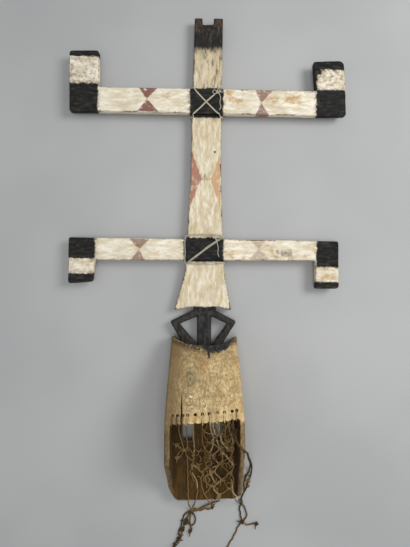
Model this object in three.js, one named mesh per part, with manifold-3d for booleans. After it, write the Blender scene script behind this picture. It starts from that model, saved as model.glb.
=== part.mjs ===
// Kanaga dance mask, lying on its carved face with the hollow back upwards.
// Millimetres. X runs across the mask, Y up the mask from chin to mast top, Z up from the surface it lies on.
import * as THREE from 'three';
import { mergeVertices } from 'three/addons/utils/BufferGeometryUtils.js';
import Module from 'manifold-3d';

const wasm = await Module();
wasm.setup();

// Gap between separate pieces that touch
const gap = 0.3;
// How far cutting shapes run past the wood
const margin = 20;

// Mast: one plank that flares at its foot, with a notched top
const mast = {
  thickness: 26,
  footY: 448,
  waistY: 557,
  middleY: 757,
  topY: 1141,
  footWidth: 135,
  waistWidth: 90,
  middleWidth: 72,
  topWidth: 67,
  footShift: -5.5,
  topShift: 9.5,
  shiftPower: 1.6,
  flarePower: 1.35,
  taperPower: 0.7,
  edgeBevel: 1.5,
  flareSteps: 5,
  steps: 14,
};
const notch = { width: 27, depth: 15, shift: -2, draft: 1 };
const neck = { width: 55, height: 9, centreX: -1.5, rootAbove: 4, rootBelow: 8, inset: 1 };

// Figure between the head and the mast: a post with two bent arms on each side
const figure = {
  lowZ: 3,
  highZ: 28,
  bevel: 4,
  postWidth: 33,
  postX: -2,
  baseY: 340,
  armWidth: 16,
  wristWidth: 14,
  handTaper: 2,
  elbowOut: 3,
  elbowDrop: 1.5,
  wristIn: 1,
  wristRise: 5,
};
const shoulderY = mast.footY - 4;
const arms = [
  { shoulder: [figure.postX - 12, shoulderY], elbow: [-77, 416.5], hip: [-33, 360], hipWidth: 27 },
  { shoulder: [figure.postX + 13, shoulderY], elbow: [67, 416], hip: [20, 352], hipWidth: 20 },
];

// Head: a box hollowed from behind, with a sloping panel that closes the top of its back
const head = {
  chinWidth: 171,
  rimWidth: 168,
  topWidth: 150,
  lean: -2,
  topY: 396,
  ledgeY: 376,
  ledgeZ: 62,
  rimY: 229.5,
  rimZ: 165,
  rimTilt: 0.07,
  bulge: 7,
  arch: 8,
  cornerRadius: 9,
  frontChamfer: 3,
  wall: 10,
  panelWall: 12,
  faceZ: 34,
  hollowLowY: 120,
  hollowTopY: 352,
  lowSectionYs: [60, 150],
  slopeSteps: 6,
  openingDraft: 3,
};
// Rear edges of the two side walls, from the bottom up, as [Y, Z]
const leftWallEdge = [[0, 34], [28, 36], [74, 80], [148, 165]];
const rightWallEdge = [[0, 34], [9, 34], [61, 80], [186, 165]];
// Sides and rounded lower corners of the head, as [X, Y, corner radius]
const headOutline = [
  [-77, 420, 0], [-84.5, 229, 0], [-86, 99, 0], [-86, 28, 14], [-68, 0, 10], [70, 5, 6], [85, 14, 6],
  [85.5, 99, 0], [83.5, 229, 0], [75, 420, 0],
];
// Ears and crescent on top of the head, at the height of its ledge; below it they lean down the mask
const crescent = {
  lean: 0.17,
  points: [
    [76, 394, 1], [52, 377.5, 8], [34, 372.5, 10], [0, 369, 20], [-26, 372, 10], [-48, 376.5, 6],
    [-66, 385.5, 4], [-79, 395.5, 1],
  ],
};

// Front of the face: two deep channels beside a straight nose, with an eye hole in each
const channel = {
  depth: 24,
  centreX: -2,
  innerX: 12,
  outerX: 62,
  lowY: 60,
  highY: 288,
  innerRadius: 2,
  outerRadius: 4,
  archRadius: 22,
};
const eye = { width: 27, lowY: 140, highY: 216, leftX: -39, rightX: 28, cornerRadius: 3 };
const mouth = { width: 34, height: 14, centreY: 34, depth: 9, cornerRadius: 3 };

// Holes for the hood's cords along the rim, and the crack that runs up from it
const rimHoles = {
  radius: 2.9,
  aboveRim: 17,
  depth: 30,
  splay: 0.25,
  sides: 8,
  acrossX: [-67, -57, -46, -36, -20, -5, 9, 25, 40, 56, 66],
};
const wallHoles = { radius: 2.9, z: 140, places: [[-1, 214], [-1, 203], [1, 212]] };
const crack = { x: -48.5, width: 2.2, tipWidth: 0.8, depth: 60, topY: 268 };

// Crossbars: planks let into the back of the mast, each with a blade at either end, as [X, Y, corner radius]
const barZ = { low: 16, high: 34 };
const barBevel = 1.5;
const upperBar = { span: 653, middleX: 6.5, leftBlade: 70, rightBlade: 77, leftTopY: 1061, rightTopY: 1036 };
const lowerBar = { span: 638, middleX: -4, leftBlade: 57, rightBlade: 55, leftFootY: 512, rightFootY: 499 };
const upperEnds = barEnds(upperBar);
const lowerEnds = barEnds(lowerBar);
const upperBarOutline = [
  [upperEnds.left, 917, 5], [upperEnds.innerLeft, 917, 3], [upperEnds.innerRight, 906, 3],
  [upperEnds.right, 906, 6], [upperEnds.right - 5, upperBar.rightTopY, 14],
  [upperEnds.innerRight - 1, upperBar.rightTopY - 2, 5], [upperEnds.innerRight + 5, 965, 3],
  [upperEnds.innerLeft, 975, 3], [upperEnds.innerLeft, upperBar.leftTopY, 5],
  [upperEnds.left, upperBar.leftTopY, 7],
];
const lowerBarOutline = [
  [lowerEnds.left, lowerBar.leftFootY, 6], [lowerEnds.innerLeft, lowerBar.leftFootY + 4, 4],
  [lowerEnds.innerLeft + 6, 567, 3], [lowerEnds.innerRight, 565, 3],
  [lowerEnds.innerRight, lowerBar.rightFootY, 4], [lowerEnds.right, lowerBar.rightFootY, 6],
  [lowerEnds.right, 611, 5], [lowerEnds.left + 1, 621, 5],
];
// Heights of each bar's lower and upper edge where it crosses the mast's middle
const upperCrossing = { lowY: 911.6, highY: 970.1 };
const lowerCrossing = { lowY: 566, highY: 616 };

// Cord that lashes the bars and the grooves for it in the mast's front; the last four values are its places
// inward from the mast's edge: on the bar, over the bar's edge, and at the start and end of the groove
const lashing = {
  diameter: 3,
  clearance: 0.6,
  sides: 6,
  stepLength: 6.9,
  grooveDepth: 6,
  grooveWidth: 9,
  grooveAway: 6,
  grooveSlack: 1.2,
  onBar: 9,
  overEdge: 3,
  inGroove: 4,
  acrossGroove: 14,
};
const upperLashingKnot = [30, 958];
const lowerLashingKnot = [22, 611];

// Cords of the hood, and the routes they lie along: out of the rim holes, down to the inside of the face,
// over its lower edge or over the right wall, and onto the surface that the mask lies on
const net = { diameter: 3, sides: 6, stepLength: 12, knotRadius: 4.5 };
const hoodStrands = [
  [[-56.2, 237.7, 145.3], [-55.3, 234.5, 139.5], [-57, 222, 108], [-59, 203, 68], [-61, 184, 44],
    [-61, 163, 37.5], [-55, 143, 37.5], [-49, 123, 37.5]],
  [[-49, 123, 37.5], [-62, 130, 37.5], [-67, 133, 37.5]],
  [[-49, 123, 37.5], [-62, 116, 37.5], [-66, 104, 37.5]],
  [[-49, 123, 37.5], [-43, 107, 37.5], [-41, 89, 37.5], [-40, 46, 37.5], [-39, 11, 38], [-39, -4, 36],
    [-38, -14, 26], [-36, -28, 11], [-33, -41, 5]],
  [[-45.6, 238.6, 146.5], [-45.3, 235.5, 141], [-45, 222, 108], [-44, 203, 66], [-43, 184, 43],
    [-43, 164, 37.5], [-42, 143, 37.5], [-40, 128, 37.5], [-29, 116, 37.5], [-27, 110, 37.5]],
  [[-36, 239.5, 147.6], [-36, 236, 141.6], [-34, 222, 108], [-31, 203, 66], [-29, 184, 43], [-28, 166, 37.5],
    [-27, 145, 37.5], [-25, 126, 37.5], [-27, 110, 37.5]],
  [[-27, 110, 37.5], [-28, 96, 37.5], [-32, 82, 37.5], [-34, 69, 37.5], [-28, 55, 37.5], [-19, 37, 37.5],
    [-18, 20, 37.5], [-21, 8, 38], [-24, -4, 36], [-27, -15, 25], [-30, -28, 11], [-33, -41, 5]],
  [[-30, 86, 37.5], [-21, 82, 37.5], [-12, 72, 37.5], [-5, 73, 37.5], [4, 82, 37.5]],
  [[-5, 243.1, 150.4], [-5, 239.4, 143.3], [-5, 224, 108], [-6, 205, 66], [-6, 186, 43], [-6, 166, 37.5],
    [-6, 145, 37.5], [0, 121, 37.5], [-1, 100, 37.5], [4, 82, 37.5]],
  [[9, 244.3, 150.1], [9, 240.6, 143], [10, 224, 108], [11, 205, 66], [12, 186, 43], [13, 168, 37.5],
    [20, 150, 37.5], [17, 128, 37.5], [11, 116, 37.5], [14, 97, 37.5], [15, 80, 37.5]],
  [[25, 245.4, 149], [25, 241.7, 142], [23, 225, 108], [21, 206, 66], [20, 188, 43], [20, 171, 37.5],
    [26, 153, 37.5], [30, 137, 37.5], [39, 119, 37.5], [40, 96, 37.5], [30, 85, 37.5], [15, 80, 37.5]],
  [[40, 246.4, 147.2], [40, 242.7, 140.3], [38, 225, 108], [35, 206, 66], [33, 188, 43], [33, 171, 37.5],
    [39, 144, 37.5], [55, 123, 37.5], [62, 122, 37.5]],
  [[55.6, 247.5, 144.8], [55.1, 243.9, 137.8], [55, 226, 106], [57, 207, 66], [58, 189, 43], [57, 171, 37.5],
    [61, 157, 37.5], [65, 141, 37.5], [62, 130, 37.5], [55, 123, 37.5]],
  [[65.3, 248.2, 143], [64.4, 244.5, 136], [63, 226, 105], [64, 207, 66], [64, 188, 44], [64, 168, 37.5],
    [65, 148, 37.5], [65, 133, 37.5], [62, 122, 37.5], [64, 108, 37.5], [65, 94, 37.5], [65, 78, 37.5],
    [60, 60, 37.5], [60, 42, 37.5], [64, 25, 38], [68, 11, 38.5], [76, -2, 33], [84, -11, 16], [87, -19, 4]],
  [[39, 118, 37.5], [53, 103, 37.5], [62, 90, 37.5], [65, 84, 37.5]],
  [[4, 82, 37.5], [-8, 63, 37.5], [-9, 44, 37.5], [-4, 25, 37.5], [6, 6, 38], [12, -6, 35], [15, -14, 24],
    [17, -24, 10], [18, -30, 5], [8, -39, 2.4], [-4, -34, 2.4], [-15, -40, 3], [-33, -41, 5]],
  [[15, 80, 37.5], [18, 58, 37.5], [24, 37, 37.5], [30, 22, 37.5], [27, 10, 38], [23, -5, 35], [20, -15, 23],
    [18, -30, 5]],
  [[71, 212, 140], [63, 212, 140], [60, 204, 146], [62, 193, 157], [68, 184, 161.5], [75, 177, 161],
    [82, 170, 157], [88, 160, 142], [93, 139, 108], [100, 118, 75], [106, 97, 46], [111, 78, 20],
    [113, 63, 6], [112, 47, 2.4], [106, 32, 2.4], [100, 13, 2.4], [91, -2, 2.4], [87, -11, 2.6],
    [87, -19, 4]],
  [[87, -19, 4], [84, -36, 2.4], [86, -51, 2.4], [90, -66, 4.6]],
  [[87, -19, 4], [95, -32, 2.4], [101, -48, 2.4], [99, -59, 2.4], [90, -66, 4.6]],
  [[90, -66, 4.6], [102, -76, 2.4], [114, -73, 2.4], [125, -72, 2.4]],
  [[90, -66, 4.6], [81, -78, 2.4], [71, -100, 2.4], [55, -127, 2.4], [45, -144, 2.4], [40, -157, 4.6]],
  [[-33, -41, 5], [-43, -55, 3], [-48, -70, 2.4], [-55, -90, 2.4], [-60, -103, 4.6], [-70, -116, 2.4],
    [-77, -129, 3], [-83, -142, 4.6]],
  [[-33, -41, 5], [-23, -52, 2.4], [-22, -67, 2.4], [-30, -81, 2.4], [-40, -77, 2.4], [-45, -63, 2.4]],
];
const hoodKnots = [
  [-49, 123, 39], [-27, 110, 39], [4, 82, 39], [15, 80, 39], [55, 123, 39], [62, 122, 39],
  [-33, -41, 5], [18, -30, 5], [87, -19, 5], [106, 32, 4.8], [90, -66, 4.8], [-60, -103, 4.8],
  [40, -157, 4.8], [-83, -142, 4.8],
];

const up = new THREE.Vector3(0, 1, 0);

// Ends of a crossbar and the inner edges of its blades
function barEnds({ span, middleX, leftBlade, rightBlade }) {
  const left = middleX - span / 2;
  const right = middleX + span / 2;
  return { left, right, innerLeft: left + leftBlade, innerRight: right - rightBlade };
}

function toSolid(geometry, matrix = new THREE.Matrix4()) {
  const bare = geometry.clone().applyMatrix4(matrix);
  bare.deleteAttribute('normal');
  bare.deleteAttribute('uv');
  const merged = mergeVertices(bare, 1e-3);
  const vertProperties = Float32Array.from(merged.attributes.position.array);
  const triVerts = Uint32Array.from(merged.index.array);
  return new wasm.Manifold(new wasm.Mesh({ numProp: 3, vertProperties, triVerts }));
}

function toGeometry(solid) {
  const result = solid.getMesh();
  const geometry = new THREE.BufferGeometry();
  geometry.setAttribute('position', new THREE.BufferAttribute(result.vertProperties, 3));
  geometry.setIndex(new THREE.BufferAttribute(result.triVerts, 1));
  geometry.computeVertexNormals();
  return geometry;
}

function mix(a, b, t) {
  return a + (b - a) * t;
}

// Closed outline through corner points, each [x, y, radius], its corners cut by a short curve
function outline(corners) {
  const shape = new THREE.Shape();
  corners.forEach(([x, y, radius = 0], i) => {
    const corner = new THREE.Vector2(x, y);
    const before = new THREE.Vector2(...corners.at(i - 1).slice(0, 2)).sub(corner);
    const after = new THREE.Vector2(...corners[(i + 1) % corners.length].slice(0, 2)).sub(corner);
    const start = corner.clone().add(before.setLength(Math.min(radius, before.length() / 2)));
    const end = corner.clone().add(after.setLength(Math.min(radius, after.length() / 2)));
    if (i === 0) {
      shape.moveTo(start.x, start.y);
    } else {
      shape.lineTo(start.x, start.y);
    }
    if (radius > 0) {
      shape.quadraticCurveTo(x, y, end.x, end.y);
    }
  });
  shape.closePath();
  return shape;
}

// Solid with a flat outline in X and Y, between two heights
function slab(shape, lowZ, highZ, bevel = 0, curveSegments = 3, turn = new THREE.Matrix4()) {
  const geometry = new THREE.ExtrudeGeometry(shape, {
    depth: highZ - lowZ - 2 * bevel,
    bevelEnabled: bevel > 0,
    bevelThickness: bevel,
    bevelSize: bevel,
    bevelOffset: -bevel,
    bevelSegments: 1,
    curveSegments,
  });
  return toSolid(geometry, turn.multiply(new THREE.Matrix4().makeTranslation(0, 0, lowZ + bevel)));
}

// Solid with a flat outline in Y and Z, between two places across the mask
function sideSlab(points, lowX, highX) {
  const geometry = new THREE.ExtrudeGeometry(outline(points), { depth: highX - lowX, bevelEnabled: false });
  const turn = new THREE.Matrix4().makeBasis(
    new THREE.Vector3(0, 1, 0),
    new THREE.Vector3(0, 0, 1),
    new THREE.Vector3(1, 0, 0),
  );
  turn.setPosition(lowX, 0, 0);
  return toSolid(geometry, turn);
}

// Solid skinned over a row of closed sections with equal numbers of points
function loft(sections) {
  const count = sections[0].length;
  const positions = sections.flat(2);
  const index = [];
  for (let s = 0; s < sections.length - 1; s += 1) {
    for (let i = 0; i < count; i += 1) {
      const a = s * count + i;
      const b = s * count + ((i + 1) % count);
      index.push(a, b, b + count, a, b + count, a + count);
    }
  }
  const last = (sections.length - 1) * count;
  const cap = THREE.ShapeUtils.triangulateShape(sections[0].map(([x, , z]) => new THREE.Vector2(x, z)), []);
  cap.forEach(([a, b, c]) => {
    index.push(a, c, b);
    index.push(last + a, last + b, last + c);
  });
  const geometry = new THREE.BufferGeometry();
  geometry.setAttribute('position', new THREE.Float32BufferAttribute(positions, 3));
  geometry.setIndex(index);
  let solid = toSolid(geometry);
  if (solid.volume() < 0) {
    geometry.setIndex(index.toReversed());
    solid = toSolid(geometry);
  }
  return solid;
}

// Round rod from one point to another
function rod(from, to, radius, sides) {
  const axis = new THREE.Vector3().subVectors(to, from);
  const geometry = new THREE.CylinderGeometry(radius, radius, axis.length(), sides);
  const turn = new THREE.Quaternion().setFromUnitVectors(up, axis.clone().normalize());
  const middle = new THREE.Vector3().addVectors(from, to).multiplyScalar(0.5);
  return toSolid(geometry, new THREE.Matrix4().compose(middle, turn, new THREE.Vector3(1, 1, 1)));
}

// Cord along a smooth curve through hand-laid points
function cord(points, diameter, sides, stepLength) {
  const path = new THREE.CatmullRomCurve3(points.map((p) => new THREE.Vector3(...p)), false, 'centripetal');
  const section = new THREE.Shape();
  for (let i = 0; i < sides; i += 1) {
    const angle = (i / sides) * 2 * Math.PI;
    const x = (diameter / 2) * Math.cos(angle);
    const y = (diameter / 2) * Math.sin(angle);
    if (i === 0) {
      section.moveTo(x, y);
    } else {
      section.lineTo(x, y);
    }
  }
  section.closePath();
  const steps = Math.max(3, Math.round(path.getLength() / stepLength));
  return toSolid(new THREE.ExtrudeGeometry(section, { steps, extrudePath: path, bevelEnabled: false }));
}

// Middle and width of the mast at a height
function mastSection(y) {
  const rise = Math.max(0, (y - mast.waistY) / (mast.topY - mast.waistY));
  const fall = Math.max(0, (mast.waistY - y) / (mast.waistY - mast.footY));
  const lower = Math.max(0, (mast.middleY - y) / (mast.middleY - mast.waistY));
  const higher = Math.max(0, (y - mast.middleY) / (mast.topY - mast.middleY));
  const centre = mast.topShift * rise ** mast.shiftPower + mast.footShift * fall;
  let width = mix(mast.middleWidth, mast.topWidth, higher ** mast.taperPower);
  if (y < mast.waistY) {
    width = mix(mast.waistWidth, mast.footWidth, fall ** mast.flarePower);
  } else if (y < mast.middleY) {
    width = mix(mast.middleWidth, mast.waistWidth, lower);
  }
  return { left: centre - width / 2, right: centre + width / 2, centre };
}

function mastShape() {
  const left = [];
  const right = [];
  for (let i = 0; i <= mast.steps; i += 1) {
    const y = i <= mast.flareSteps
      ? mix(mast.footY, mast.waistY, i / mast.flareSteps)
      : mix(mast.waistY, mast.topY, (i - mast.flareSteps) / (mast.steps - mast.flareSteps));
    const section = mastSection(y);
    left.push([section.left, y]);
    right.push([section.right, y]);
  }
  const topMiddle = mastSection(mast.topY).centre + notch.shift;
  const notchFloor = mast.topY - notch.depth;
  const top = [
    [topMiddle + notch.width / 2, mast.topY],
    [topMiddle + notch.width / 2 - notch.draft, notchFloor],
    [topMiddle - notch.width / 2 + notch.draft, notchFloor],
    [topMiddle - notch.width / 2, mast.topY],
  ];
  const hollow = mast.footY + neck.height;
  const foot = [
    [neck.centreX - neck.width / 2, hollow],
    [neck.centreX + neck.width / 2, hollow],
  ];
  return outline([...foot, ...right, ...top, ...left.reverse()]);
}

function mastSolid() {
  const plank = slab(mastShape(), 0, mast.thickness, mast.edgeBevel);
  const neckTop = mast.footY + neck.height + neck.rootAbove;
  const neckLow = mast.footY - neck.rootBelow;
  const neckShape = outline([
    [neck.centreX - neck.width / 2, neckLow],
    [neck.centreX + neck.width / 2, neckLow],
    [neck.centreX + neck.width / 2, neckTop],
    [neck.centreX - neck.width / 2, neckTop],
  ]);
  return plank.add(slab(neckShape, neck.inset, mast.thickness - neck.inset));
}

// Limb of the figure: a band that changes width between two joints
function limb([x0, y0], [x1, y1], width0, width1) {
  const along = new THREE.Vector2(x1 - x0, y1 - y0).normalize();
  const side = new THREE.Vector2(-along.y, along.x);
  const corners = [
    [x0 - side.x * width0 / 2, y0 - side.y * width0 / 2],
    [x1 - side.x * width1 / 2, y1 - side.y * width1 / 2],
    [x1 + side.x * width1 / 2, y1 + side.y * width1 / 2],
    [x0 + side.x * width0 / 2, y0 + side.y * width0 / 2],
  ];
  return slab(outline(corners), figure.lowZ, figure.highZ, figure.bevel);
}

function figureSolid() {
  const postX = figure.postX;
  const half = figure.postWidth / 2;
  const post = outline([
    [postX - half, figure.baseY], [postX + half, figure.baseY],
    [postX + half, mast.footY], [postX - half, mast.footY],
  ]);
  let solid = slab(post, figure.lowZ, figure.highZ, figure.bevel);
  for (const { shoulder, elbow, hip, hipWidth } of arms) {
    const outward = Math.sign(elbow[0]);
    const upperEnd = [elbow[0] + outward * figure.elbowOut, elbow[1] - figure.elbowDrop];
    const lowerStart = [elbow[0] - outward * figure.wristIn, elbow[1] + figure.wristRise];
    solid = solid.add(limb(shoulder, upperEnd, figure.armWidth, figure.armWidth - figure.handTaper));
    solid = solid.add(limb(lowerStart, hip, figure.wristWidth, hipWidth));
  }
  return solid;
}

// Height of the head's back at a place along it, before the arch across it
function headBack(y) {
  if (y <= head.rimY) {
    return head.rimZ;
  }
  if (y >= head.ledgeY) {
    return head.ledgeZ;
  }
  const t = (y - head.rimY) / (head.ledgeY - head.rimY);
  return mix(head.rimZ, head.ledgeZ, t) + head.bulge * 4 * t * (1 - t);
}

function headHalfWidth(y) {
  if (y < head.rimY) {
    return mix(head.chinWidth, head.rimWidth, Math.max(0, y) / head.rimY) / 2;
  }
  return mix(head.rimWidth, head.topWidth, (y - head.rimY) / (head.topY - head.rimY)) / 2;
}

// Section across the head: flat below, arched above, its upper corners rounded
function headSection(y, lowZ, inset, chamfer) {
  const half = headHalfWidth(y) - inset;
  const highZ = headBack(y) - (inset > 0 ? head.panelWall : 0);
  const radius = Math.max(2, head.cornerRadius - inset / 2);
  const archHeight = (x) => highZ - head.arch * (x / half) ** 2;
  const points = [[-half, y, lowZ + chamfer], [-half + chamfer, y, lowZ]];
  points.push([half - chamfer, y, lowZ], [half, y, lowZ + chamfer]);
  const topSteps = 8;
  const cornerSteps = 3;
  for (let i = 0; i < cornerSteps; i += 1) {
    const angle = (i / cornerSteps) * Math.PI / 2;
    const x = half - radius * (1 - Math.cos(angle));
    points.push([x, y, archHeight(half - radius) - radius * (1 - Math.sin(angle))]);
  }
  for (let i = 0; i <= topSteps; i += 1) {
    const x = mix(half - radius, radius - half, i / topSteps);
    points.push([x, y, archHeight(x)]);
  }
  for (let i = cornerSteps - 1; i >= 0; i -= 1) {
    const angle = (i / cornerSteps) * Math.PI / 2;
    const x = half - radius * (1 - Math.cos(angle));
    points.push([-x, y, archHeight(half - radius) - radius * (1 - Math.sin(angle))]);
  }
  return points.map(([px, py, pz]) => [px + head.lean * Math.max(0, py) / head.topY, py, pz]);
}

// Everything below the crescent, whose edge moves down the mask towards the carved face
function belowCrescent() {
  const reach = head.chinWidth;
  const shape = outline([
    [-reach, head.topY], [-reach, -reach], [reach, -reach], [reach, head.topY], ...crescent.points,
  ]);
  const leaning = new THREE.Matrix4().set(
    1, 0, 0, 0,
    0, 1, crescent.lean, -crescent.lean * head.ledgeZ,
    0, 0, 1, 0,
    0, 0, 0, 1,
  );
  return slab(shape, -margin, head.rimZ + margin, 0, 3, leaning);
}

function headSolid() {
  const steps = Array.from({ length: head.slopeSteps + 1 }, (_, i) => i / head.slopeSteps);
  const slopeYs = steps.map((t) => mix(head.rimY, head.ledgeY, t));
  const outerYs = [-margin, ...head.lowSectionYs, ...slopeYs, head.topY + margin];
  let solid = loft(outerYs.map((y) => headSection(y, 0, 0, head.frontChamfer)));
  solid = solid.intersect(slab(outline(headOutline), -margin, head.rimZ + margin));
  solid = solid.intersect(belowCrescent());

  // The hollow runs up under the sloping panel and is open behind below the rim
  const hollowYs = [head.hollowLowY, ...slopeYs.filter((y) => y < head.hollowTopY), head.hollowTopY];
  const hollow = loft(hollowYs.map((y) => headSection(y, head.faceZ, head.wall, 2)));
  const above = head.rimZ + margin;
  const inner = headHalfWidth(head.hollowLowY) - head.wall;
  const innerTop = inner - head.openingDraft;
  const opening = outline([
    [-inner, -margin], [inner, -margin],
    [innerTop, head.rimY + inner * head.rimTilt],
    [-innerTop, head.rimY - inner * head.rimTilt],
  ]);
  solid = solid.subtract(hollow).subtract(slab(opening, head.faceZ, above));

  // Rear edges of the side walls
  const cutBehind = (edge) => [[-margin, head.faceZ], ...edge, [edge.at(-1)[0], above], [-margin, above]];
  solid = solid.subtract(sideSlab(cutBehind(leftWallEdge), -head.chinWidth, -margin));
  solid = solid.subtract(sideSlab(cutBehind(rightWallEdge), margin, head.chinWidth));
  return solid;
}

function faceCuts() {
  let cuts = null;
  for (const side of [-1, 1]) {
    const inner = channel.centreX + side * channel.innerX;
    const outer = channel.centreX + side * channel.outerX;
    const shape = outline([
      [inner, channel.lowY, channel.innerRadius], [outer, channel.lowY, channel.outerRadius],
      [outer, channel.highY, channel.archRadius], [inner, channel.highY, channel.archRadius],
    ]);
    const groove = slab(shape, -margin, channel.depth);
    cuts = cuts ? cuts.add(groove) : groove;
  }
  for (const x of [eye.leftX, eye.rightX]) {
    const half = eye.width / 2;
    const shape = outline([
      [x - half, eye.lowY, eye.cornerRadius], [x + half, eye.lowY, eye.cornerRadius],
      [x + half, eye.highY, eye.cornerRadius], [x - half, eye.highY, eye.cornerRadius],
    ]);
    cuts = cuts.add(slab(shape, -margin, head.faceZ + margin));
  }
  const lip = outline([
    [channel.centreX - mouth.width / 2, mouth.centreY - mouth.height / 2, mouth.cornerRadius],
    [channel.centreX + mouth.width / 2, mouth.centreY - mouth.height / 2, mouth.cornerRadius],
    [channel.centreX + mouth.width / 2, mouth.centreY + mouth.height / 2, mouth.cornerRadius],
    [channel.centreX - mouth.width / 2, mouth.centreY + mouth.height / 2, mouth.cornerRadius],
  ]);
  return cuts.add(slab(lip, -margin, mouth.depth));
}

// Place and outward direction of a cord hole along the rim
function rimHole(x) {
  const y = head.rimY + x * head.rimTilt + rimHoles.aboveRim;
  const half = headHalfWidth(y);
  const z = headBack(y) - head.arch * (x / half) ** 2;
  const slope = (headBack(y + 2) - headBack(y - 2)) / 4;
  const outward = new THREE.Vector3(rimHoles.splay * (x / half) ** 3, -slope, 1).normalize();
  return { place: new THREE.Vector3(x, y, z), outward };
}

function cordHoleCuts() {
  let cuts = null;
  for (const x of rimHoles.acrossX) {
    const { place, outward } = rimHole(x);
    const from = place.clone().addScaledVector(outward, -rimHoles.depth);
    const to = place.clone().addScaledVector(outward, margin);
    const hole = rod(from, to, rimHoles.radius, rimHoles.sides);
    cuts = cuts ? cuts.add(hole) : hole;
  }
  for (const [side, y] of wallHoles.places) {
    const half = headHalfWidth(y);
    const from = new THREE.Vector3(side * (half - head.wall - margin), y, wallHoles.z);
    const to = new THREE.Vector3(side * (half + margin), y, wallHoles.z);
    cuts = cuts.add(rod(from, to, wallHoles.radius, rimHoles.sides));
  }
  return cuts;
}

function crackCut() {
  const low = head.rimY - margin;
  const wedge = outline([
    [crack.x - crack.width / 2, low], [crack.x + crack.width / 2, low],
    [crack.x + crack.tipWidth / 2, crack.topY], [crack.x - crack.tipWidth / 2, crack.topY],
  ]);
  return slab(wedge, head.rimZ - crack.depth, head.rimZ + margin);
}

// Seat for a crossbar in the mast's back
function barSeat(barOutline) {
  const seat = slab(outline(barOutline), barZ.low - gap, mast.thickness + margin);
  return seat.translate(0, gap, 0).add(seat.translate(0, -gap, 0));
}

function lashingGrooves(crossing) {
  const grooveYs = [crossing.lowY - lashing.grooveAway, crossing.highY + lashing.grooveAway];
  return grooveYs.map((y) => {
    const half = lashing.grooveWidth / 2;
    const reach = mast.waistWidth;
    const shape = outline([[-reach, y - half], [reach, y - half], [reach, y + half], [-reach, y + half]]);
    return slab(shape, -margin, lashing.grooveDepth);
  });
}

function maskSolid() {
  let solid = headSolid().add(figureSolid()).add(mastSolid());
  const cuts = [
    faceCuts(),
    cordHoleCuts(),
    crackCut(),
    barSeat(upperBarOutline),
    barSeat(lowerBarOutline),
    ...lashingGrooves(upperCrossing),
    ...lashingGrooves(lowerCrossing),
  ];
  for (const cut of cuts) {
    solid = solid.subtract(cut);
  }
  return solid;
}

// Lashing: over the bar on one slant, across the mast's front, over the bar on the other slant, and back
function lashingPoints(crossing, knot, lift) {
  const away = lashing.diameter / 2 + lashing.clearance;
  const slack = lashing.grooveSlack;
  const overBar = barZ.high + away;
  const frontZ = lashing.grooveDepth - away - slack;
  const corner = (side, level) => {
    const edgeY = level > 0 ? crossing.highY : crossing.lowY;
    const y = edgeY + level * lashing.grooveAway;
    const section = mastSection(y);
    const edgeX = side > 0 ? section.right : section.left;
    return [
      [edgeX - side * lashing.onBar, edgeY - level * away, overBar],
      [edgeX - side * lashing.overEdge, edgeY + level * (away + slack), overBar - lashing.diameter],
      [edgeX + side * (away + slack / 2), y, mast.thickness - lashing.diameter],
      [edgeX + side * (away + slack / 2), y, lashing.grooveDepth + lashing.diameter],
      [edgeX + side * lashing.clearance, y, frontZ + slack / 3],
      [edgeX - side * lashing.inGroove, y, frontZ],
      [edgeX - side * lashing.acrossGroove, y, frontZ],
    ];
  };
  const middleY = (crossing.lowY + crossing.highY) / 2;
  const middle = mastSection(middleY).centre;
  const start = [...knot, overBar + lift];
  const crossingUnder = [middle, middleY, overBar];
  const crossingOver = [middle, middleY, overBar + lift];
  return [
    start,
    crossingOver,
    ...corner(-1, -1),
    ...corner(1, -1).reverse(),
    crossingUnder,
    ...corner(-1, 1),
    ...corner(1, 1).reverse(),
  ];
}

function lashingSolid(crossing, knot) {
  const lift = lashing.diameter + lashing.clearance;
  return cord(lashingPoints(crossing, knot, lift), lashing.diameter, lashing.sides, lashing.stepLength);
}

function hoodSolid() {
  let solid = null;
  for (const points of hoodStrands) {
    const strand = cord(points, net.diameter, net.sides, net.stepLength);
    solid = solid ? solid.add(strand) : strand;
  }
  for (const place of hoodKnots) {
    const ball = new THREE.IcosahedronGeometry(net.knotRadius);
    solid = solid.add(toSolid(ball, new THREE.Matrix4().makeTranslation(...place)));
  }
  return solid;
}

const wood = new THREE.MeshStandardMaterial({ color: 0xa9895a, roughness: 0.85, metalness: 0 });
const kaolin = new THREE.MeshStandardMaterial({ color: 0xded2b6, roughness: 0.9, metalness: 0 });
const paleString = new THREE.MeshStandardMaterial({ color: 0xb9b3a2, roughness: 0.95, metalness: 0 });
const fibre = new THREE.MeshStandardMaterial({ color: 0x6e5637, roughness: 0.95, metalness: 0 });

function piece(name, solid, material) {
  const mesh = new THREE.Mesh(toGeometry(solid), material);
  mesh.name = name;
  return mesh;
}

const woodPieces = [
  piece('mask', maskSolid(), wood),
  piece('upper_crossbar', slab(outline(upperBarOutline), barZ.low, barZ.high, barBevel), kaolin),
  piece('lower_crossbar', slab(outline(lowerBarOutline), barZ.low, barZ.high, barBevel), kaolin),
  piece('upper_lashing', lashingSolid(upperCrossing, upperLashingKnot), paleString),
  piece('lower_lashing', lashingSolid(lowerCrossing, lowerLashingKnot), paleString),
];

// The origin is the middle of the wood's footprint, on the surface it lies on
const kanaga = new THREE.Group();
kanaga.add(...woodPieces);
const box = new THREE.Box3().setFromObject(kanaga);
const middle = box.getCenter(new THREE.Vector3());
kanaga.add(piece('hood_net', hoodSolid(), fibre));
kanaga.position.set(-middle.x, -middle.y, -box.min.z);

export default kanaga;
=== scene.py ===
import math
import random
from itertools import product

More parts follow.
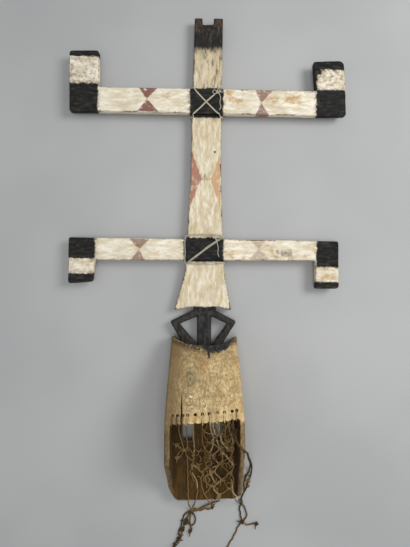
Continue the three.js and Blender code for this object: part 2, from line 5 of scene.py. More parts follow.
import bpy
import numpy as np
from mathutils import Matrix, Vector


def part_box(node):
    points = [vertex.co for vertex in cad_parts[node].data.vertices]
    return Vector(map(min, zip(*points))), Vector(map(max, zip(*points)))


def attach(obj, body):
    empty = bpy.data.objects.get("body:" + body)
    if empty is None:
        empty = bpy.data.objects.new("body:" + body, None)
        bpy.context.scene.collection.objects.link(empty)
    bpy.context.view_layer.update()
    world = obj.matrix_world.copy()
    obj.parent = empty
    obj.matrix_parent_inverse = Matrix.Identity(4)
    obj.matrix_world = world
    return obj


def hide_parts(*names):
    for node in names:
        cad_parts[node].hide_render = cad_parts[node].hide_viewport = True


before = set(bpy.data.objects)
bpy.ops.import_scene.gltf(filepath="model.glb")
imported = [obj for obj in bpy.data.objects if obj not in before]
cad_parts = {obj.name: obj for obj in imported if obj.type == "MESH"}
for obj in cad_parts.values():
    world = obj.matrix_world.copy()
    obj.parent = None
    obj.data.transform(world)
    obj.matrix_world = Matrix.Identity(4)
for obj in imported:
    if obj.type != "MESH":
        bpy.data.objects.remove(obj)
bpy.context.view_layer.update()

print("frame is loaded")

# Kanaga dance mask with a cord hood. It lies on its carved face, and the camera looks down on its back.
# Places are in metres from the middle of the chin: X across, Y up the mask, Z up from the floor
layout = {"barLeftEnd": 0.320, "mastTop": 1.141}
chin = np.array([
    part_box("upper_crossbar")[0][0] + layout["barLeftEnd"],
    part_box("mask")[1][1] - layout["mastTop"],
    0.0,
])

photoView = {"alongMask": 0.535, "height": 1.0, "lens": 27.04}


def setCamera():
    cameraData = bpy.data.cameras.new("photoCamera")
    cameraData.lens = photoView["lens"]
    camera = bpy.data.objects.new("photoCamera", cameraData)
    camera.location = chin + np.array([0, photoView["alongMask"], photoView["height"]])
    bpy.context.scene.collection.objects.link(camera)
    bpy.context.scene.camera = camera


setCamera()
print("camera is set")


# Cords: a smooth route, and a surface of two plies that twist round each other

# Height of a cord that lies on the floor, the lowest place of a loose fibre, and the end's length without kinks
cordLimits = {"onFloor": 0.0021, "lowestFibre": 0.0003, "straightEnd": 0.01}


def blendAt(u, first, last, start, end):
    return (first * (end - u) + last * (u - start)) / (end - start)


def smoothRoute(points, step):
    given = np.array(points, dtype=float)
    given = np.vstack([2 * given[0] - given[1], given, 2 * given[-1] - given[-2]])
    dense = []
    for i in range(1, len(given) - 2):
        p = given[i - 1:i + 3]
        gaps = np.maximum(np.linalg.norm(np.diff(p, axis=0), axis=1), 1e-7) ** 0.5
        t = np.concatenate([[0], np.cumsum(gaps)])
        u = np.linspace(t[1], t[2], 20, endpoint=i == len(given) - 3)[:, None]
        a = [blendAt(u, p[k], p[k + 1], t[k], t[k + 1]) for k in range(3)]
        b = [blendAt(u, a[k], a[k + 1], t[k], t[k + 2]) for k in range(2)]
        dense.append(blendAt(u, b[0], b[1], t[1], t[2]))
    dense = np.vstack(dense)
    along = distanceAlong(dense)
    even = np.linspace(0, along[-1], max(4, round(along[-1] / step)))
    return np.stack([np.interp(even, along, dense[:, axis]) for axis in range(3)], axis=1)


def distanceAlong(route):
    return np.concatenate([[0], np.cumsum(np.linalg.norm(np.diff(route, axis=0), axis=1))])


# Places in metres, from places in millimetres
def inMetres(points):
    return np.array([(*place, insideOfFace)[:3] for place in points]) / 1000


def framesAlong(route):
    tangents = np.gradient(route, axis=0)
    tangents /= np.linalg.norm(tangents, axis=1)[:, None]
    side = np.cross(tangents[0], [0.31, 0.17, 0.93])
    sides = []
    for tangent in tangents:
        side = side - tangent * np.dot(side, tangent)
        side = side / np.linalg.norm(side)
        sides.append(side)
    sides = np.array(sides)
    return tangents, sides, np.cross(tangents, sides)


# Small kinks along a cord that has been knotted for long; its ends stay where they are
def kinked(route, kinks, dice):
    along = distanceAlong(route)
    _, sideways, upwards = framesAlong(route)
    settle = np.clip(np.minimum(along, along[-1] - along) / cordLimits["straightEnd"], 0, 1)
    shifted = route.copy()
    for axis, share in ((sideways, 1.0), (upwards, 0.25)):
        sway = np.zeros(len(route))
        for length, amount in kinks:
            sway += amount * np.sin(2 * math.pi * along / length + dice.uniform(0, 2 * math.pi))
        shifted += axis * (sway * settle * share)[:, None]
    shifted[:, 2] = np.maximum(shifted[:, 2], np.minimum(route[:, 2], cordLimits["onFloor"]))
    return shifted


# Surface of one cord. "groove" is 1 in the furrow between the plies; "thread" is the way along, round, and the tone
def twineSurface(route, twine, tone):
    sides = twine["sides"]
    along = distanceAlong(route)
    _, sideways, upwards = framesAlong(route)
    angle = 2 * math.pi * np.arange(sides) / sides
    whole = angle[None, :] + 2 * math.pi * along[:, None] / twine["pitch"]
    lobe = np.abs(np.cos(angle))
    fromEnd = np.minimum(along, along[-1] - along) / (0.4 * twine["diameter"])
    taper = np.sqrt(np.clip(fromEnd + 0.2, 0, 1))
    radius = taper[:, None] * (twine["diameter"] / 2 * (1 - twine["depth"] * (1 - lobe)))[None, :]
    verts = route[:, None, :] + radius[..., None] * (np.cos(whole)[..., None] * sideways[:, None,
        :] + np.sin(whole)[..., None] * upwards[:, None, :])
    faces = []
    for ring in range(len(route) - 1):
        for k in range(sides):
            a = ring * sides + k
            b = ring * sides + (k + 1) % sides
            faces.append((a, b, b + sides, a + sides))
    last = (len(route) - 1) * sides
    faces.append(tuple(range(sides - 1, -1, -1)))
    faces.append(tuple(range(last, last + sides)))
    thread = np.stack([np.repeat(along, sides), np.tile(np.arange(sides) / sides, len(route)),
        np.full(len(route) * sides, tone)], axis=1)
    groove = np.tile(1 - lobe, len(route))
    return {"verts": verts.reshape(-1, 3), "faces": faces, "groove": groove, "thread": thread}


# Thin loose fibres that stand off a cord, each a three-sided spike
def fuzz(route, twine, tone, dice, fan=None):
    reach = twine["fanReach"] if fan else twine["fuzzReach"]
    tangents, sideways, upwards = framesAlong(route)
    along = distanceAlong(route)
    count = fan or max(1, round(along[-1] * twine["fuzzPerMetre"]))
    verts, faces = [], []
    for _ in range(count):
        i = len(route) - 1 if fan else dice.randrange(1, len(route) - 1)
        turn = dice.uniform(0, 2 * math.pi)
        outward = math.cos(turn) * sideways[i] + math.sin(turn) * upwards[i]
        base = route[i] + outward * twine["diameter"] * (0.15 if fan else 0.36)
        lean = tangents[i] * (dice.uniform(1.2, 2.4) if fan else dice.uniform(-0.8, 0.8))
        tip = base + (outward * 0.7 + lean) * reach * dice.uniform(0.5, 1)
        across = np.cross(tip - base, outward + 0.1)
        across = across / np.linalg.norm(across) * twine["fibre"]
        start = len(verts)
        verts += [base + across, base - across, base + outward * twine["fibre"], tip]
        faces += [(start, start + 1, start + 3), (start + 1, start + 2, start + 3), (start + 2, start, start + 3)]
    verts = np.array(verts)
    verts[:, 2] = np.maximum(verts[:, 2], cordLimits["lowestFibre"])
    thread = np.tile([0.0, 0.5, min(1.0, tone + 0.15)], (len(verts), 1))
    return {"verts": verts, "faces": faces, "groove": np.zeros(len(verts)), "thread": thread}


def twineParts(route, twine, tone, dice):
    return [twineSurface(route, twine, tone), fuzz(route, twine, tone, dice)]


def newPiece(name, mesh):
    piece = bpy.data.objects.new(name, mesh)
    bpy.context.scene.collection.objects.link(piece)
    return piece


# Values of a mesh's points or edges, with a row for each
def valuesOf(items, name, width=3, kind=float):
    values = np.empty(len(items) * width, dtype=kind)
    items.foreach_get(name, values)
    return values.reshape(-1, width)


def joinParts(name, parts):
    faces = []
    offset = 0
    for part in parts:
        faces += [tuple(corner + offset for corner in face) for face in part["faces"]]
        offset += len(part["verts"])
    mesh = bpy.data.meshes.new(name)
    mesh.from_pydata((np.vstack([part["verts"] for part in parts]) + chin).tolist(), [], faces)
    mesh.shade_smooth()
    groove = mesh.attributes.new("groove", "FLOAT", "POINT")
    groove.data.foreach_set("value", np.concatenate([part["groove"] for part in parts]))
    thread = mesh.attributes.new("thread", "FLOAT_VECTOR", "POINT")
    thread.data.foreach_set("vector", np.vstack([part["thread"] for part in parts]).ravel())
    return newPiece(name, mesh)


# The same points turned by an angle about the axis that is neither of the two given
def turnedPoints(points, angle, first, second):
    turned = points.copy()
    turned[:, first] = points[:, first] * math.cos(angle) - points[:, second] * math.sin(angle)
    turned[:, second] = points[:, first] * math.sin(angle) + points[:, second] * math.cos(angle)
    return turned


# A tight knot with two short frayed ends
def knotParts(place, size, twine, tone, dice):
    turn, tilt = dice.uniform(0, 2 * math.pi), dice.uniform(-0.35, 0.35)
    t = np.linspace(0.1, 2 * math.pi - 0.1, 44)
    loop = np.stack([np.sin(t) + 2 * np.sin(2 * t), np.cos(t) - 2 * np.cos(2 * t), -1.1 * np.sin(3 * t)], axis=1)
    loop *= size / 6 * np.array([1, dice.uniform(0.75, 1.1), 1])
    loop = turnedPoints(turnedPoints(loop, tilt, 1, 2), turn, 0, 1)
    parts = [twineSurface(loop + place, twine, tone)]
    for _ in range(2):
        heading = dice.uniform(0, 2 * math.pi)
        outward = np.array([math.cos(heading), math.sin(heading), 0])
        bend = np.array([-outward[1], outward[0], 0]) * dice.uniform(-0.4, 0.4)
        reach = size * dice.uniform(1.0, 1.7)
        tail = smoothRoute([place, place + outward * reach * 0.5, place + (outward + bend) * reach], 0.001)
        thin = {**twine, "diameter": twine["diameter"] * 0.8}
        parts += [twineSurface(tail, thin, tone), fuzz(tail, twine, tone, dice, twine["fan"])]
    return parts


# Hood: knotted two-ply cords of plant fibre
hoodCord = {"diameter": 0.0031, "pitch": 0.0098, "depth": 0.36, "sides": 12, "step": 0.0011, "fibre": 0.00006,
            "knotSize": 0.0066, "fuzzPerMetre": 260, "fuzzReach": 0.0014, "fan": 7, "fanReach": 0.0022,
            "kinks": ((0.019, 0.0008), (0.011, 0.0004)), "darkTone": 0.36, "darkDiameter": 0.0040, "runs": 46,
            # rounds of easing for cords and mesh cords, the most further rounds, and the tightest bend in diameters
            "easing": 5, "meshEasing": 72, "mostEasing": 60, "tightestBend": 2.2,
            # tone and size of the knots in the tails and in the net, and the tone of the short runs
            "tailKnot": (0.15, 1.25), "netKnot": (0.6, 1.0), "shortRunTone": 0.85,
            # how near a knot or a loop lies to its cord, and the height above which a cord starts at the rim
            "knotReach": 0.006, "loopReach": 0.004, "rimHeight": 0.13, "seed": 7}
# Each cord's tone from dark to pale, its far end, and its route in millimetres. A place without a height lies on the
# inside of the face
insideOfFace = 37.5
hoodStrands = [
    (0.6, "knot", [(-55.3, 234.5, 139.5), (-57, 222, 108), (-59, 203, 68), (-61, 184, 44), (-61, 163), (-55, 143),
        (-49, 123)]),
    (0.5, "object", [(-66, 104), (-62, 116), (-49, 123, 37.8), (-41, 127.5, 40.5)]),
    (0.45, "knot", [(-67, 133), (-62, 130), (-49, 123), (-43, 107), (-41, 89), (-40, 46), (-39, 11, 38),
        (-39, -4, 36), (-38, -14, 26), (-36, -28, 11), (-33, -41, 5)]),
    (0.55, "knot", [(-45.3, 235.5, 141), (-45, 222, 108), (-44, 203, 66), (-43, 184, 43), (-43, 164), (-42, 143),
        (-40, 128), (-29, 116), (-27, 110)]),
    (0.75, "knot", [(-36, 236, 141.6), (-34, 222, 108), (-31, 203, 66), (-29, 184, 43), (-28, 166), (-27, 145),
        (-25, 126), (-27, 110)]),
    (0.4, "knot", [(-27, 110), (-28, 96), (-32, 82), (-34, 69), (-28, 55), (-19, 37), (-18, 20), (-21, 8, 38),
        (-24, -4, 36), (-27, -15, 25), (-30, -28, 11), (-33, -41, 5)]),
    (0.65, "knot", [(-30, 86), (-21, 82), (-12, 72), (-5, 73), (4, 82)]),
    (0.5, "knot", [(-5, 239.4, 143.3), (-5, 224, 108), (-6, 205, 66), (-6, 186, 43), (-6, 166), (-6, 145), (0, 121),
        (-1, 100), (4, 82)]),
    (0.7, "knot", [(9, 240.6, 143), (10, 224, 108), (11, 205, 66), (12, 186, 43), (13, 168), (20, 150), (17, 128),
        (11, 116), (14, 97), (15, 80)]),
    (0.8, "knot", [(25, 241.7, 142), (23, 225, 108), (21, 206, 66), (20, 188, 43), (20, 171), (26, 153), (30, 137),
        (39, 119), (40, 96), (30, 85), (15, 80)]),
    (0.85, "knot", [(40, 242.7, 140.3), (38, 225, 108), (35, 206, 66), (33, 188, 43), (33, 171), (39, 144), (55, 123),
        (62, 122)]),
    (0.75, "knot", [(55.1, 243.9, 137.8), (55, 226, 106), (57, 207, 66), (58, 189, 43), (57, 171), (61, 157),
        (65, 141), (62, 130), (55, 123)]),
    (0.45, "knot", [(64.4, 244.5, 136), (63, 226, 105), (64, 207, 66), (64, 188, 44), (64, 168), (65, 148), (65, 133),
        (62, 122), (64, 108), (65, 94), (65, 78), (60, 60), (60, 42), (64, 25, 38), (68, 11, 38.5), (76, -2, 33),
        (84, -11, 16), (87, -19, 4)]),
    (0.6, "knot", [(39, 118), (53, 103), (62, 90), (65, 84)]),
    (0.5, "knot", [(4, 82), (-8, 63), (-9, 44), (-4, 25), (6, 6, 38), (12, -6, 35), (15, -14, 24), (17, -24, 10),
        (18, -30, 5), (8, -39, 2.4), (-4, -34, 2.4), (-15, -40, 3), (-33, -41, 5)]),
    (0.5, "knot", [(15, 80), (18, 58), (24, 37), (30, 22), (27, 10, 38), (23, -5, 35), (20, -15, 23), (18, -30, 5)]),
    (0.1, "knot", [(71, 212, 140), (63, 212, 140), (60, 204, 146), (62, 193, 157), (68, 184, 161.5), (75, 177, 161),
        (82, 170, 157), (88, 160, 142), (93, 139, 108), (100, 118, 75), (106, 97, 46), (111, 78, 20), (113, 63, 6),
        (112, 47, 2.4), (106, 32, 2.4), (100, 13, 2.4), (91, -2, 2.4), (87, -11, 2.6), (87, -19, 4)]),
    (0.1, "knot", [(87, -19, 4), (84, -36, 2.4), (86, -51, 2.4), (90, -66, 4.6)]),
    (0.2, "knot", [(87, -19, 4), (95, -32, 2.4), (101, -48, 2.4), (99, -59, 2.4), (90, -66, 4.6)]),
    (0.35, "knot", [(90, -66, 4.6), (102, -76, 2.4), (114, -73, 2.4), (125, -72, 2.4)]),
    (0.3, "knot", [(90, -66, 4.6), (81, -78, 2.4), (71, -100, 2.4), (55, -127, 2.4), (45, -144, 2.4),
        (40, -157, 4.6)]),
    (0.2, "knot", [(-33, -41, 5), (-43, -55, 3), (-48, -70, 2.4), (-55, -90, 2.4), (-60, -103, 4.6), (-70, -116, 2.4),
        (-77, -129, 3), (-83, -142, 4.6)]),
    (0.2, "knot", [(-33, -41, 5), (-23, -52, 2.4), (-22, -67, 2.4), (-30, -81, 2.4), (-40, -77, 2.4),
        (-45, -63, 2.4)]),
]
# Extra runs between the main cords, laid on them or on the inside of the face, and cords that double the tails
hoodFillers = [
    (0.55, "object", [(-6.1, 242.5, 140), (-6.1, 225, 105), (-6.1, 203, 64), (-6.1, 184.4, 43), (-5.9, 168.3),
        (-6.3, 144.9), (0, 121, 40)]),
    (0.8, "object", [(11, 243, 139), (11.2, 225, 104), (11.4, 203, 64), (11.6, 184.4, 43), (15.2, 166, 37.8),
        (19.9, 149.6, 39.5), (16.4, 126.1, 39.5), (11, 116, 39.5)]),
    (1.0, "object", [(18, 243, 138), (18.3, 225, 104), (18.5, 203, 64), (18.6, 184.4, 43), (22.3, 166, 37.8),
        (28.1, 144.9, 38.5), (30, 137, 40)]),
    (0.95, "object", [(32, 243, 137), (32.2, 225, 103), (32.2, 196, 58), (32.7, 176.3, 40), (35.1, 163.6, 37.8),
        (37.5, 149.6, 39.5), (37.4, 143.6, 40), (44.4, 134.2, 40), (53.7, 124.9, 40.2)]),
    (0.75, "object", [(53, 243, 135), (53.3, 225, 103), (53.6, 203, 64), (53.6, 184.4, 43), (46.9, 166, 37.8),
        (49.2, 144.9, 37.8), (55, 123, 40.2)]),
    (0.7, "object", [(54.5, 243, 135), (54.8, 215, 85), (55.3, 190, 50), (56.1, 173.9, 40), (60.9, 159, 40),
        (67.9, 142.5, 40), (60.9, 126.1, 40)]),
    (0.95, "object", [(39.7, 120.2, 40), (51.4, 106.2, 40.2), (64.3, 89.8, 40), (66, 85, 39.5)]),
    (0.35, "knot", [(-33.9, -40.2, 6), (-19.6, -39.3, 5.4), (-4.8, -28.8, 5.6), (7.3, -25.2, 5), (19.4, -13.1, 15),
        (29, -2, 32), (34.8, 1.9, 36.5), (33, 13, 38)]),
    (0.15, "knot", [(73, 209, 139), (65.5, 207, 143), (63.5, 199, 150), (66, 189, 158), (72, 181.5, 163.2),
        (79, 174.5, 162.4), (86.6, 166.5, 155), (91.5, 150, 128), (95.5, 128, 95), (101.5, 108, 62), (106.5, 88, 34),
        (108.5, 71, 12), (106, 54, 3.2), (98.5, 40, 2.4), (94, 24, 2.4), (95.5, 8, 2.4), (89, -8, 3.6),
        (87, -18, 6.4)]),
    (0.15, "knot", [(-33.5, -40, 8), (-44.6, -44, 4.5), (-54, -60, 2.4), (-58.2, -77.8, 2.4), (-64, -94, 3),
        (-61, -103, 7.5)]),
    (0.2, "knot", [(-34.5, -42, 5), (-36.4, -60, 3), (-38, -75.4, 4.8), (-33, -80, 5.4), (-29.1, -85.1, 5.2),
        (-36.4, -90, 3)]),
]
# Cords of the net's mesh, which swing from knot to knot: tone, height in the hollow, the place across where each
# comes down from the rim, and its turns, in millimetres
meshCords = [
    (0.5, 40, 46.9, [(34, 161), (57.5, 143), (34.5, 126), (60, 106.5), (32, 89), (62.2, 70), (38, 51), (59.5, 33),
        (34.1, 18.8)]),
    (0.62, 42.5, 65.6, [(73.5, 160.9), (50.6, 144.6), (73.5, 128), (54.5, 107.5), (73.5, 89), (56.5, 70.7),
        (73.5, 51.5), (53.7, 34.1), (70.5, 20)]),
    (0.72, 42.5, 25.8, [(39.5, 162), (8, 144), (40.2, 126.5), (11, 109.5), (37.5, 91.5), (16, 73), (44, 54.5),
        (13.2, 37), (34, 19)]),
    (0.45, 40, 4.7, [(-9, 159), (13.8, 141), (-8.2, 124), (16.8, 107), (-5, 89.5), (21.7, 72), (-12.2, 54.5),
        (19, 37), (-4.2, 20)]),
]
hoodKnots = [
    (-49, 123, 40), (-27, 110, 40), (4, 82, 40), (15, 80, 40), (55, 123, 40), (62, 122, 40), (-33, -41, 6.6),
    (18, -30, 6), (87, -19, 6), (106, 32, 4.8), (90, -66, 5.4), (-60, -103, 5.2), (40, -157, 5), (-83, -142, 5),
    (-67, 133, 38.5), (-66, 104, 38.5), (-36.4, -90, 4.6), (-45, -63, 4.4), (33, 13, 39.5), (65, 84, 38.5),
    (-30, 86, 39.5), (39, 118, 39.5), (125, -72, 4), (-48, -70, 4.6), (-53.5, -84, 4.6), (-65.5, -110, 4.6),
    (-73.5, -122.5, 4.6), (-79, -134, 4.6), (53.7, 144.2, 41.5), (57.4, 103.8, 41.5), (59.3, 70.2, 41.5),
    (56.5, 33.6, 41.5), (36.6, 160.3, 41.5), (37.3, 130.2, 41.5), (34.8, 92.8, 41.5), (41.3, 53.7, 41.5),
    (34.1, 19.6, 41.5), (11, 140.2, 41.5), (14, 112.4, 41.5), (18.9, 73.9, 41.5), (16.1, 40.4, 41.5),
]
# Short runs between the main cords; each goes with the knot nearest to it
hoodScraps = [
    (0.8, [(-26.2, 88.2, 40), (-18.7, 82.8, 40.5), (-11.2, 78.8, 40)]),
    (0.6, [(-19, 80, 40), (-11.7, 73.5, 40.5), (-4.7, 66.5, 40)]),
    (0.85, [(-30.4, 69.5, 38.5), (-19.2, 49.2, 40), (-17.5, 33.7, 40)]),
    (0.55, [(-8, 72, 40), (1.2, 57.1, 41), (4.7, 33.7, 40)]),
    (0.9, [(10, 76, 41), (14, 64.8, 41), (24.8, 44.5, 40)]),
    (0.95, [(62, 56, 44), (63.8, 43.1, 44), (66.5, 24.4, 43), (77, 12, 43)]),
    (0.7, [(50, 48, 44), (60.8, 50.3, 46), (69, 52.4, 46)]),
    (0.5, [(-64, 131.9, 39), (-51.4, 120.2, 41), (-35.1, 124.9, 40)]),
    (0.65, [(-44.4, 110.9, 39), (-30.4, 99.2, 40), (-23.4, 103.8, 39)]),
    (0.45, [(-49, 123, 41), (-56, 110, 38.5), (-64, 101, 38)]),
    (0.75, [(-4, 133, 40), (3, 123, 41), (11, 116, 40)]),
    (0.6, [(-25, 126, 40), (-14, 120, 40), (-2, 124, 40)]),
    (0.9, [(12, 190, 45), (16, 180, 41.5), (21, 172, 40)]),
    (0.7, [(33, 192, 47), (44, 182, 43.5), (57, 176, 40.5)]),
    (0.95, [(35, 206, 68), (47, 196, 55), (57, 190, 46)]),
    (0.5, [(20, 176, 40), (27, 166, 39.5), (33, 160, 39.5)]),
    (0.8, [(58, 192, 47), (50.5, 180, 43), (46.9, 168, 40)]),
    (0.6, [(64, 190, 46), (60.5, 178, 42), (56, 168, 40)]),
    (0.85, [(-6, 172, 40), (3, 163, 39.5), (13, 160, 39.5)]),
    (0.4, [(64, 170, 40), (58, 160, 42), (53, 150, 40)]),
    (0.75, [(39, 144, 40), (48, 138, 42), (56, 128, 40)]),
    (0.35, [(-33, -41, 7), (-25, -33, 6), (-12, -39, 5.6), (2, -33, 5.6), (11, -37, 5)]),
    (0.2, [(106, 32, 6.2), (98.5, 35, 5.2), (96.5, 44, 5), (102, 48.5, 4.6), (108, 43, 5.8)]),
    (0.25, [(105, 30, 6), (100, 24, 4.6), (103.5, 17, 5), (108, 23, 4.6)]),
]
# Loops from the rim's holes over the rim's edge: each hole's place across the mask, and the cord's tone
rimLoops = [(-0.067, 0.25), (-0.057, 0.20), (-0.046, 0.30), (-0.036, 0.75), (-0.005, 0.85), (0.009, 0.80),
    (0.025, 0.90), (0.040, 0.95), (0.066, 0.40)]
rimHoles = {"across": (-0.067, -0.057, -0.046, -0.036, -0.020, -0.005, 0.009, 0.025, 0.040, 0.056, 0.066),
            "edgeY": 0.2295, "tilt": 0.07, "aboveEdge": 0.017, "radius": 0.0029, "lean": (0.0, 0.49, 0.87),
            "loop": {"diameter": 0.0022, "fuzzPerMetre": 200, "fuzzReach": 0.0010}, "loopSway": 0.0016}


# The head's half width at places along it, and its back, which falls from the rim to the crescent and is arched
headShape = {"halfWidths": ((0.0, 0.2295, 0.396), (0.0855, 0.0840, 0.0750)), "length": 0.1465, "rimZ": 0.165,
             "fall": 0.103, "swell": 0.028, "arch": 0.008}


def halfOfHead(y):
    return np.interp(y, *headShape["halfWidths"])


# Height of the head's back
def backOfHead(x, y):
    t = np.clip((y - rimHoles["edgeY"]) / headShape["length"], 0, 1)
    arch = headShape["arch"] * (x / halfOfHead(y)) ** 2
    return headShape["rimZ"] - headShape["fall"] * t + headShape["swell"] * t * (1 - t) - arch


def rimLoopRoute(x, shift):
    edge = rimHoles["edgeY"] + x * rimHoles["tilt"]
    rise = [(0.006, -0.019), (-0.001, -0.014), (-0.0024, -0.007), (-0.0014, 0.0006), (0.0035, 0.0016),
        (0.0090, 0.0013), (0.0140, 0.0006), (0.0172, -0.0030), (0.0140, -0.0110)]
    places = []
    for step, (along, above) in enumerate(rise):
        sideways = shift * math.sin(math.pi * step / (len(rise) - 1))
        places.append((x + sideways, edge + along, float(backOfHead(x, max(edge + along, edge))) + above))
    return smoothRoute(places, hoodCord["step"])


# The same route with its bends eased; its ends stay where they are
def eased(route, rounds):
    route = route.copy()
    for _ in range(rounds):
        route[1:-1] += 0.5 * ((route[:-2] + route[2:]) / 2 - route[1:-1])
    return route


# Radius of a route's tightest bend, from circles through points three steps apart
def tightestBend(route):
    a, b, c = route[:-6], route[3:-3], route[6:]
    sides = [np.linalg.norm(end - start, axis=1) for start, end in ((a, b), (b, c), (a, c))]
    area = np.linalg.norm(np.cross(b - a, c - a), axis=1) / 2
    return float(np.min(sides[0] * sides[1] * sides[2] / np.maximum(4 * area, 1e-12)))


# A limp cord's route, eased on until no bend is tighter than a little over two diameters
def limp(route, diameter):
    for _ in range(hoodCord["mostEasing"]):
        if tightestBend(route) > hoodCord["tightestBend"] * diameter:
            break
        route = eased(route, 3)
    return route


# Route of a cord of the mesh: down from the rim along the inside of the face, then from turn to turn
def meshRoute(height, across, turns):
    down = [(243, 137), (225, 103), (203, 64), (186, 46.5), (173.5, height + 1)]
    points = [(across, y, z) for y, z in down] + [(x, y, height) for x, y in turns]
    return eased(smoothRoute(inMetres(points), hoodCord["step"]), hoodCord["meshEasing"])


# Many small kinked runs of cord that fill the net's right half
def frayedRuns(dice):
    runs = []
    for _ in range(hoodCord["runs"]):
        x, y = dice.uniform(-18, 64), dice.uniform(30, 160)
        heading = dice.gauss(math.pi / 2, 0.6)
        bend = dice.uniform(-0.9, 0.9)
        z = dice.uniform(39.5, 44)
        reach = dice.uniform(6, 11)
        points = []
        for step in (-1.0, -0.4, 0.3, 1.0):
            turned = heading + bend * step
            points.append((x + reach * step * math.cos(turned), y + reach * step * math.sin(turned), z))
        runs.append((dice.uniform(0.1, 0.75), points))
    return runs


def makeHood():
    dice = random.Random(hoodCord["seed"])
    knots = []
    scraps = {}
    knotPlaces = inMetres(hoodKnots)
    for tone, points in hoodScraps + frayedRuns(dice):
        route = smoothRoute(inMetres(points), hoodCord["step"])
        nearest = int(np.argmin(np.linalg.norm(knotPlaces - route[len(route) // 2], axis=1)))
        scraps.setdefault(nearest, []).append(twineSurface(route, hoodCord, hoodCord["shortRunTone"] * tone))
    for number, place in enumerate(knotPlaces):
        tone, scale = hoodCord["tailKnot"] if place[1] < 0 else hoodCord["netKnot"]
        size = hoodCord["knotSize"] * dice.uniform(0.9, 1.15) * scale
        parts = knotParts(place, size, hoodCord, tone, dice)
        knots.append(joinParts(f"hoodKnot{number + 1:02d}", parts + scraps.get(number, [])))
    thin = {**hoodCord, **rimHoles["loop"]}
    loops = []
    for number, (x, tone) in enumerate(rimLoops):
        route = rimLoopRoute(x, dice.uniform(-rimHoles["loopSway"], rimHoles["loopSway"]))
        loops.append((x, joinParts(f"rimLoop{number + 1:02d}", twineParts(route, thin, tone, dice))))
    free = set(range(len(knots)))
    cords = []
    laid = []
    for tone, farEnd, points in hoodStrands + hoodFillers:
        route = kinked(smoothRoute(inMetres(points), hoodCord["step"]), hoodCord["kinks"], dice)
        laid.append((tone, farEnd, eased(route, hoodCord["easing"])))
    laid += [(tone, "knot", meshRoute(height, across, turns)) for tone, height, across, turns in meshCords]
    for number, (tone, farEnd, route) in enumerate(laid):
        diameter = hoodCord["darkDiameter"] if tone < hoodCord["darkTone"] else hoodCord["diameter"]
        route = limp(route, diameter)
        parts = twineParts(route, {**hoodCord, "diameter": diameter}, tone, dice)
        cord = joinParts(f"hoodCord{number + 1:02d}", parts)
        away = np.min(np.linalg.norm(route[:, None] - knotPlaces, axis=2), axis=0)
        near = [k for k in sorted(free) if away[k] < hoodCord["knotReach"]]
        free -= set(near)
        ends = [knots[k] for k in near]
        if route[0][2] > hoodCord["rimHeight"] and number < len(hoodStrands):
            ends += [loop for x, loop in loops if abs(x - route[0][0]) < hoodCord["loopReach"]]
            loops = [(x, loop) for x, loop in loops if abs(x - route[0][0]) >= hoodCord["loopReach"]]
        cords.append((cord, route, farEnd, ends, diameter))
    # a loop whose hole has no main cord goes with the nearest cord that starts at the rim
    atRim = [entry for entry in cords if entry[1][0][2] > hoodCord["rimHeight"]]
    for x, loop in loops:
        min(atRim, key=lambda entry: abs(entry[1][0][0] - x))[3].append(loop)
    for cord, route, farEnd, ends, diameter in cords:
        for piece in [cord, *ends]:
            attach(piece, "root")
            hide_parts("hood_net")
    print("hood has", len(cords), "cords and", len(knots), "knots,", len(free), "knots are left over")
    return [piece for cord, _, _, ends, _ in cords for piece in [cord, *ends]]


hoodPieces = makeHood()


# Places across, in millimetres, of the mast's left and right edges at a place along the mask
def edgesOfMast(y):
    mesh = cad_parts["mask"].data
    verts = (valuesOf(mesh.vertices, "co") - chin) * 1000
    a, b = verts[valuesOf(mesh.edges, "vertices", 2, int).T]
    across = (a[:, 1] - y) * (b[:, 1] - y) < 0
    a, b = a[across], b[across]
    x = a[:, 0] + (y - a[:, 1]) / (b[:, 1] - a[:, 1]) * (b[:, 0] - a[:, 0])
    return float(x.min()), float(x.max())


# Lashings: thin pale string in several turns, which passes the mast's front in shallow grooves
lashString = {"diameter": 0.0020, "pitch": 0.0060, "depth": 0.32, "sides": 10, "step": 0.0009, "fibre": 0.00005,
              "knotSize": 0.0052, "fuzzPerMetre": 120, "fuzzReach": 0.0009, "fan": 7, "fanReach": 0.0022,
              "sideGap": 1.6, "grooveZ": 3, "mastZ": 27.5, "barZ": 35.4}


# Turn of string round the mast's front, from one side's back edge to the other's. Places are in millimetres here
def roundFront(y, side, shift):
    edges = dict(zip((-1, 1), edgesOfMast(y)))
    out = lashString["sideGap"] + 0.4
    groove = lashString["grooveZ"]
    half = []
    for way in (side, -side):
        edge = edges[way]
        half.append([
            (edge - way * 3, y, lashString["mastZ"]), (edge + way * out, y, 22.5), (edge + way * out, y, 9),
            (edge + way * 0.2, y + shift, groove + 0.4), (edge - way * 6, y + shift, groove),
        ])
    return half[0] + half[1][::-1]


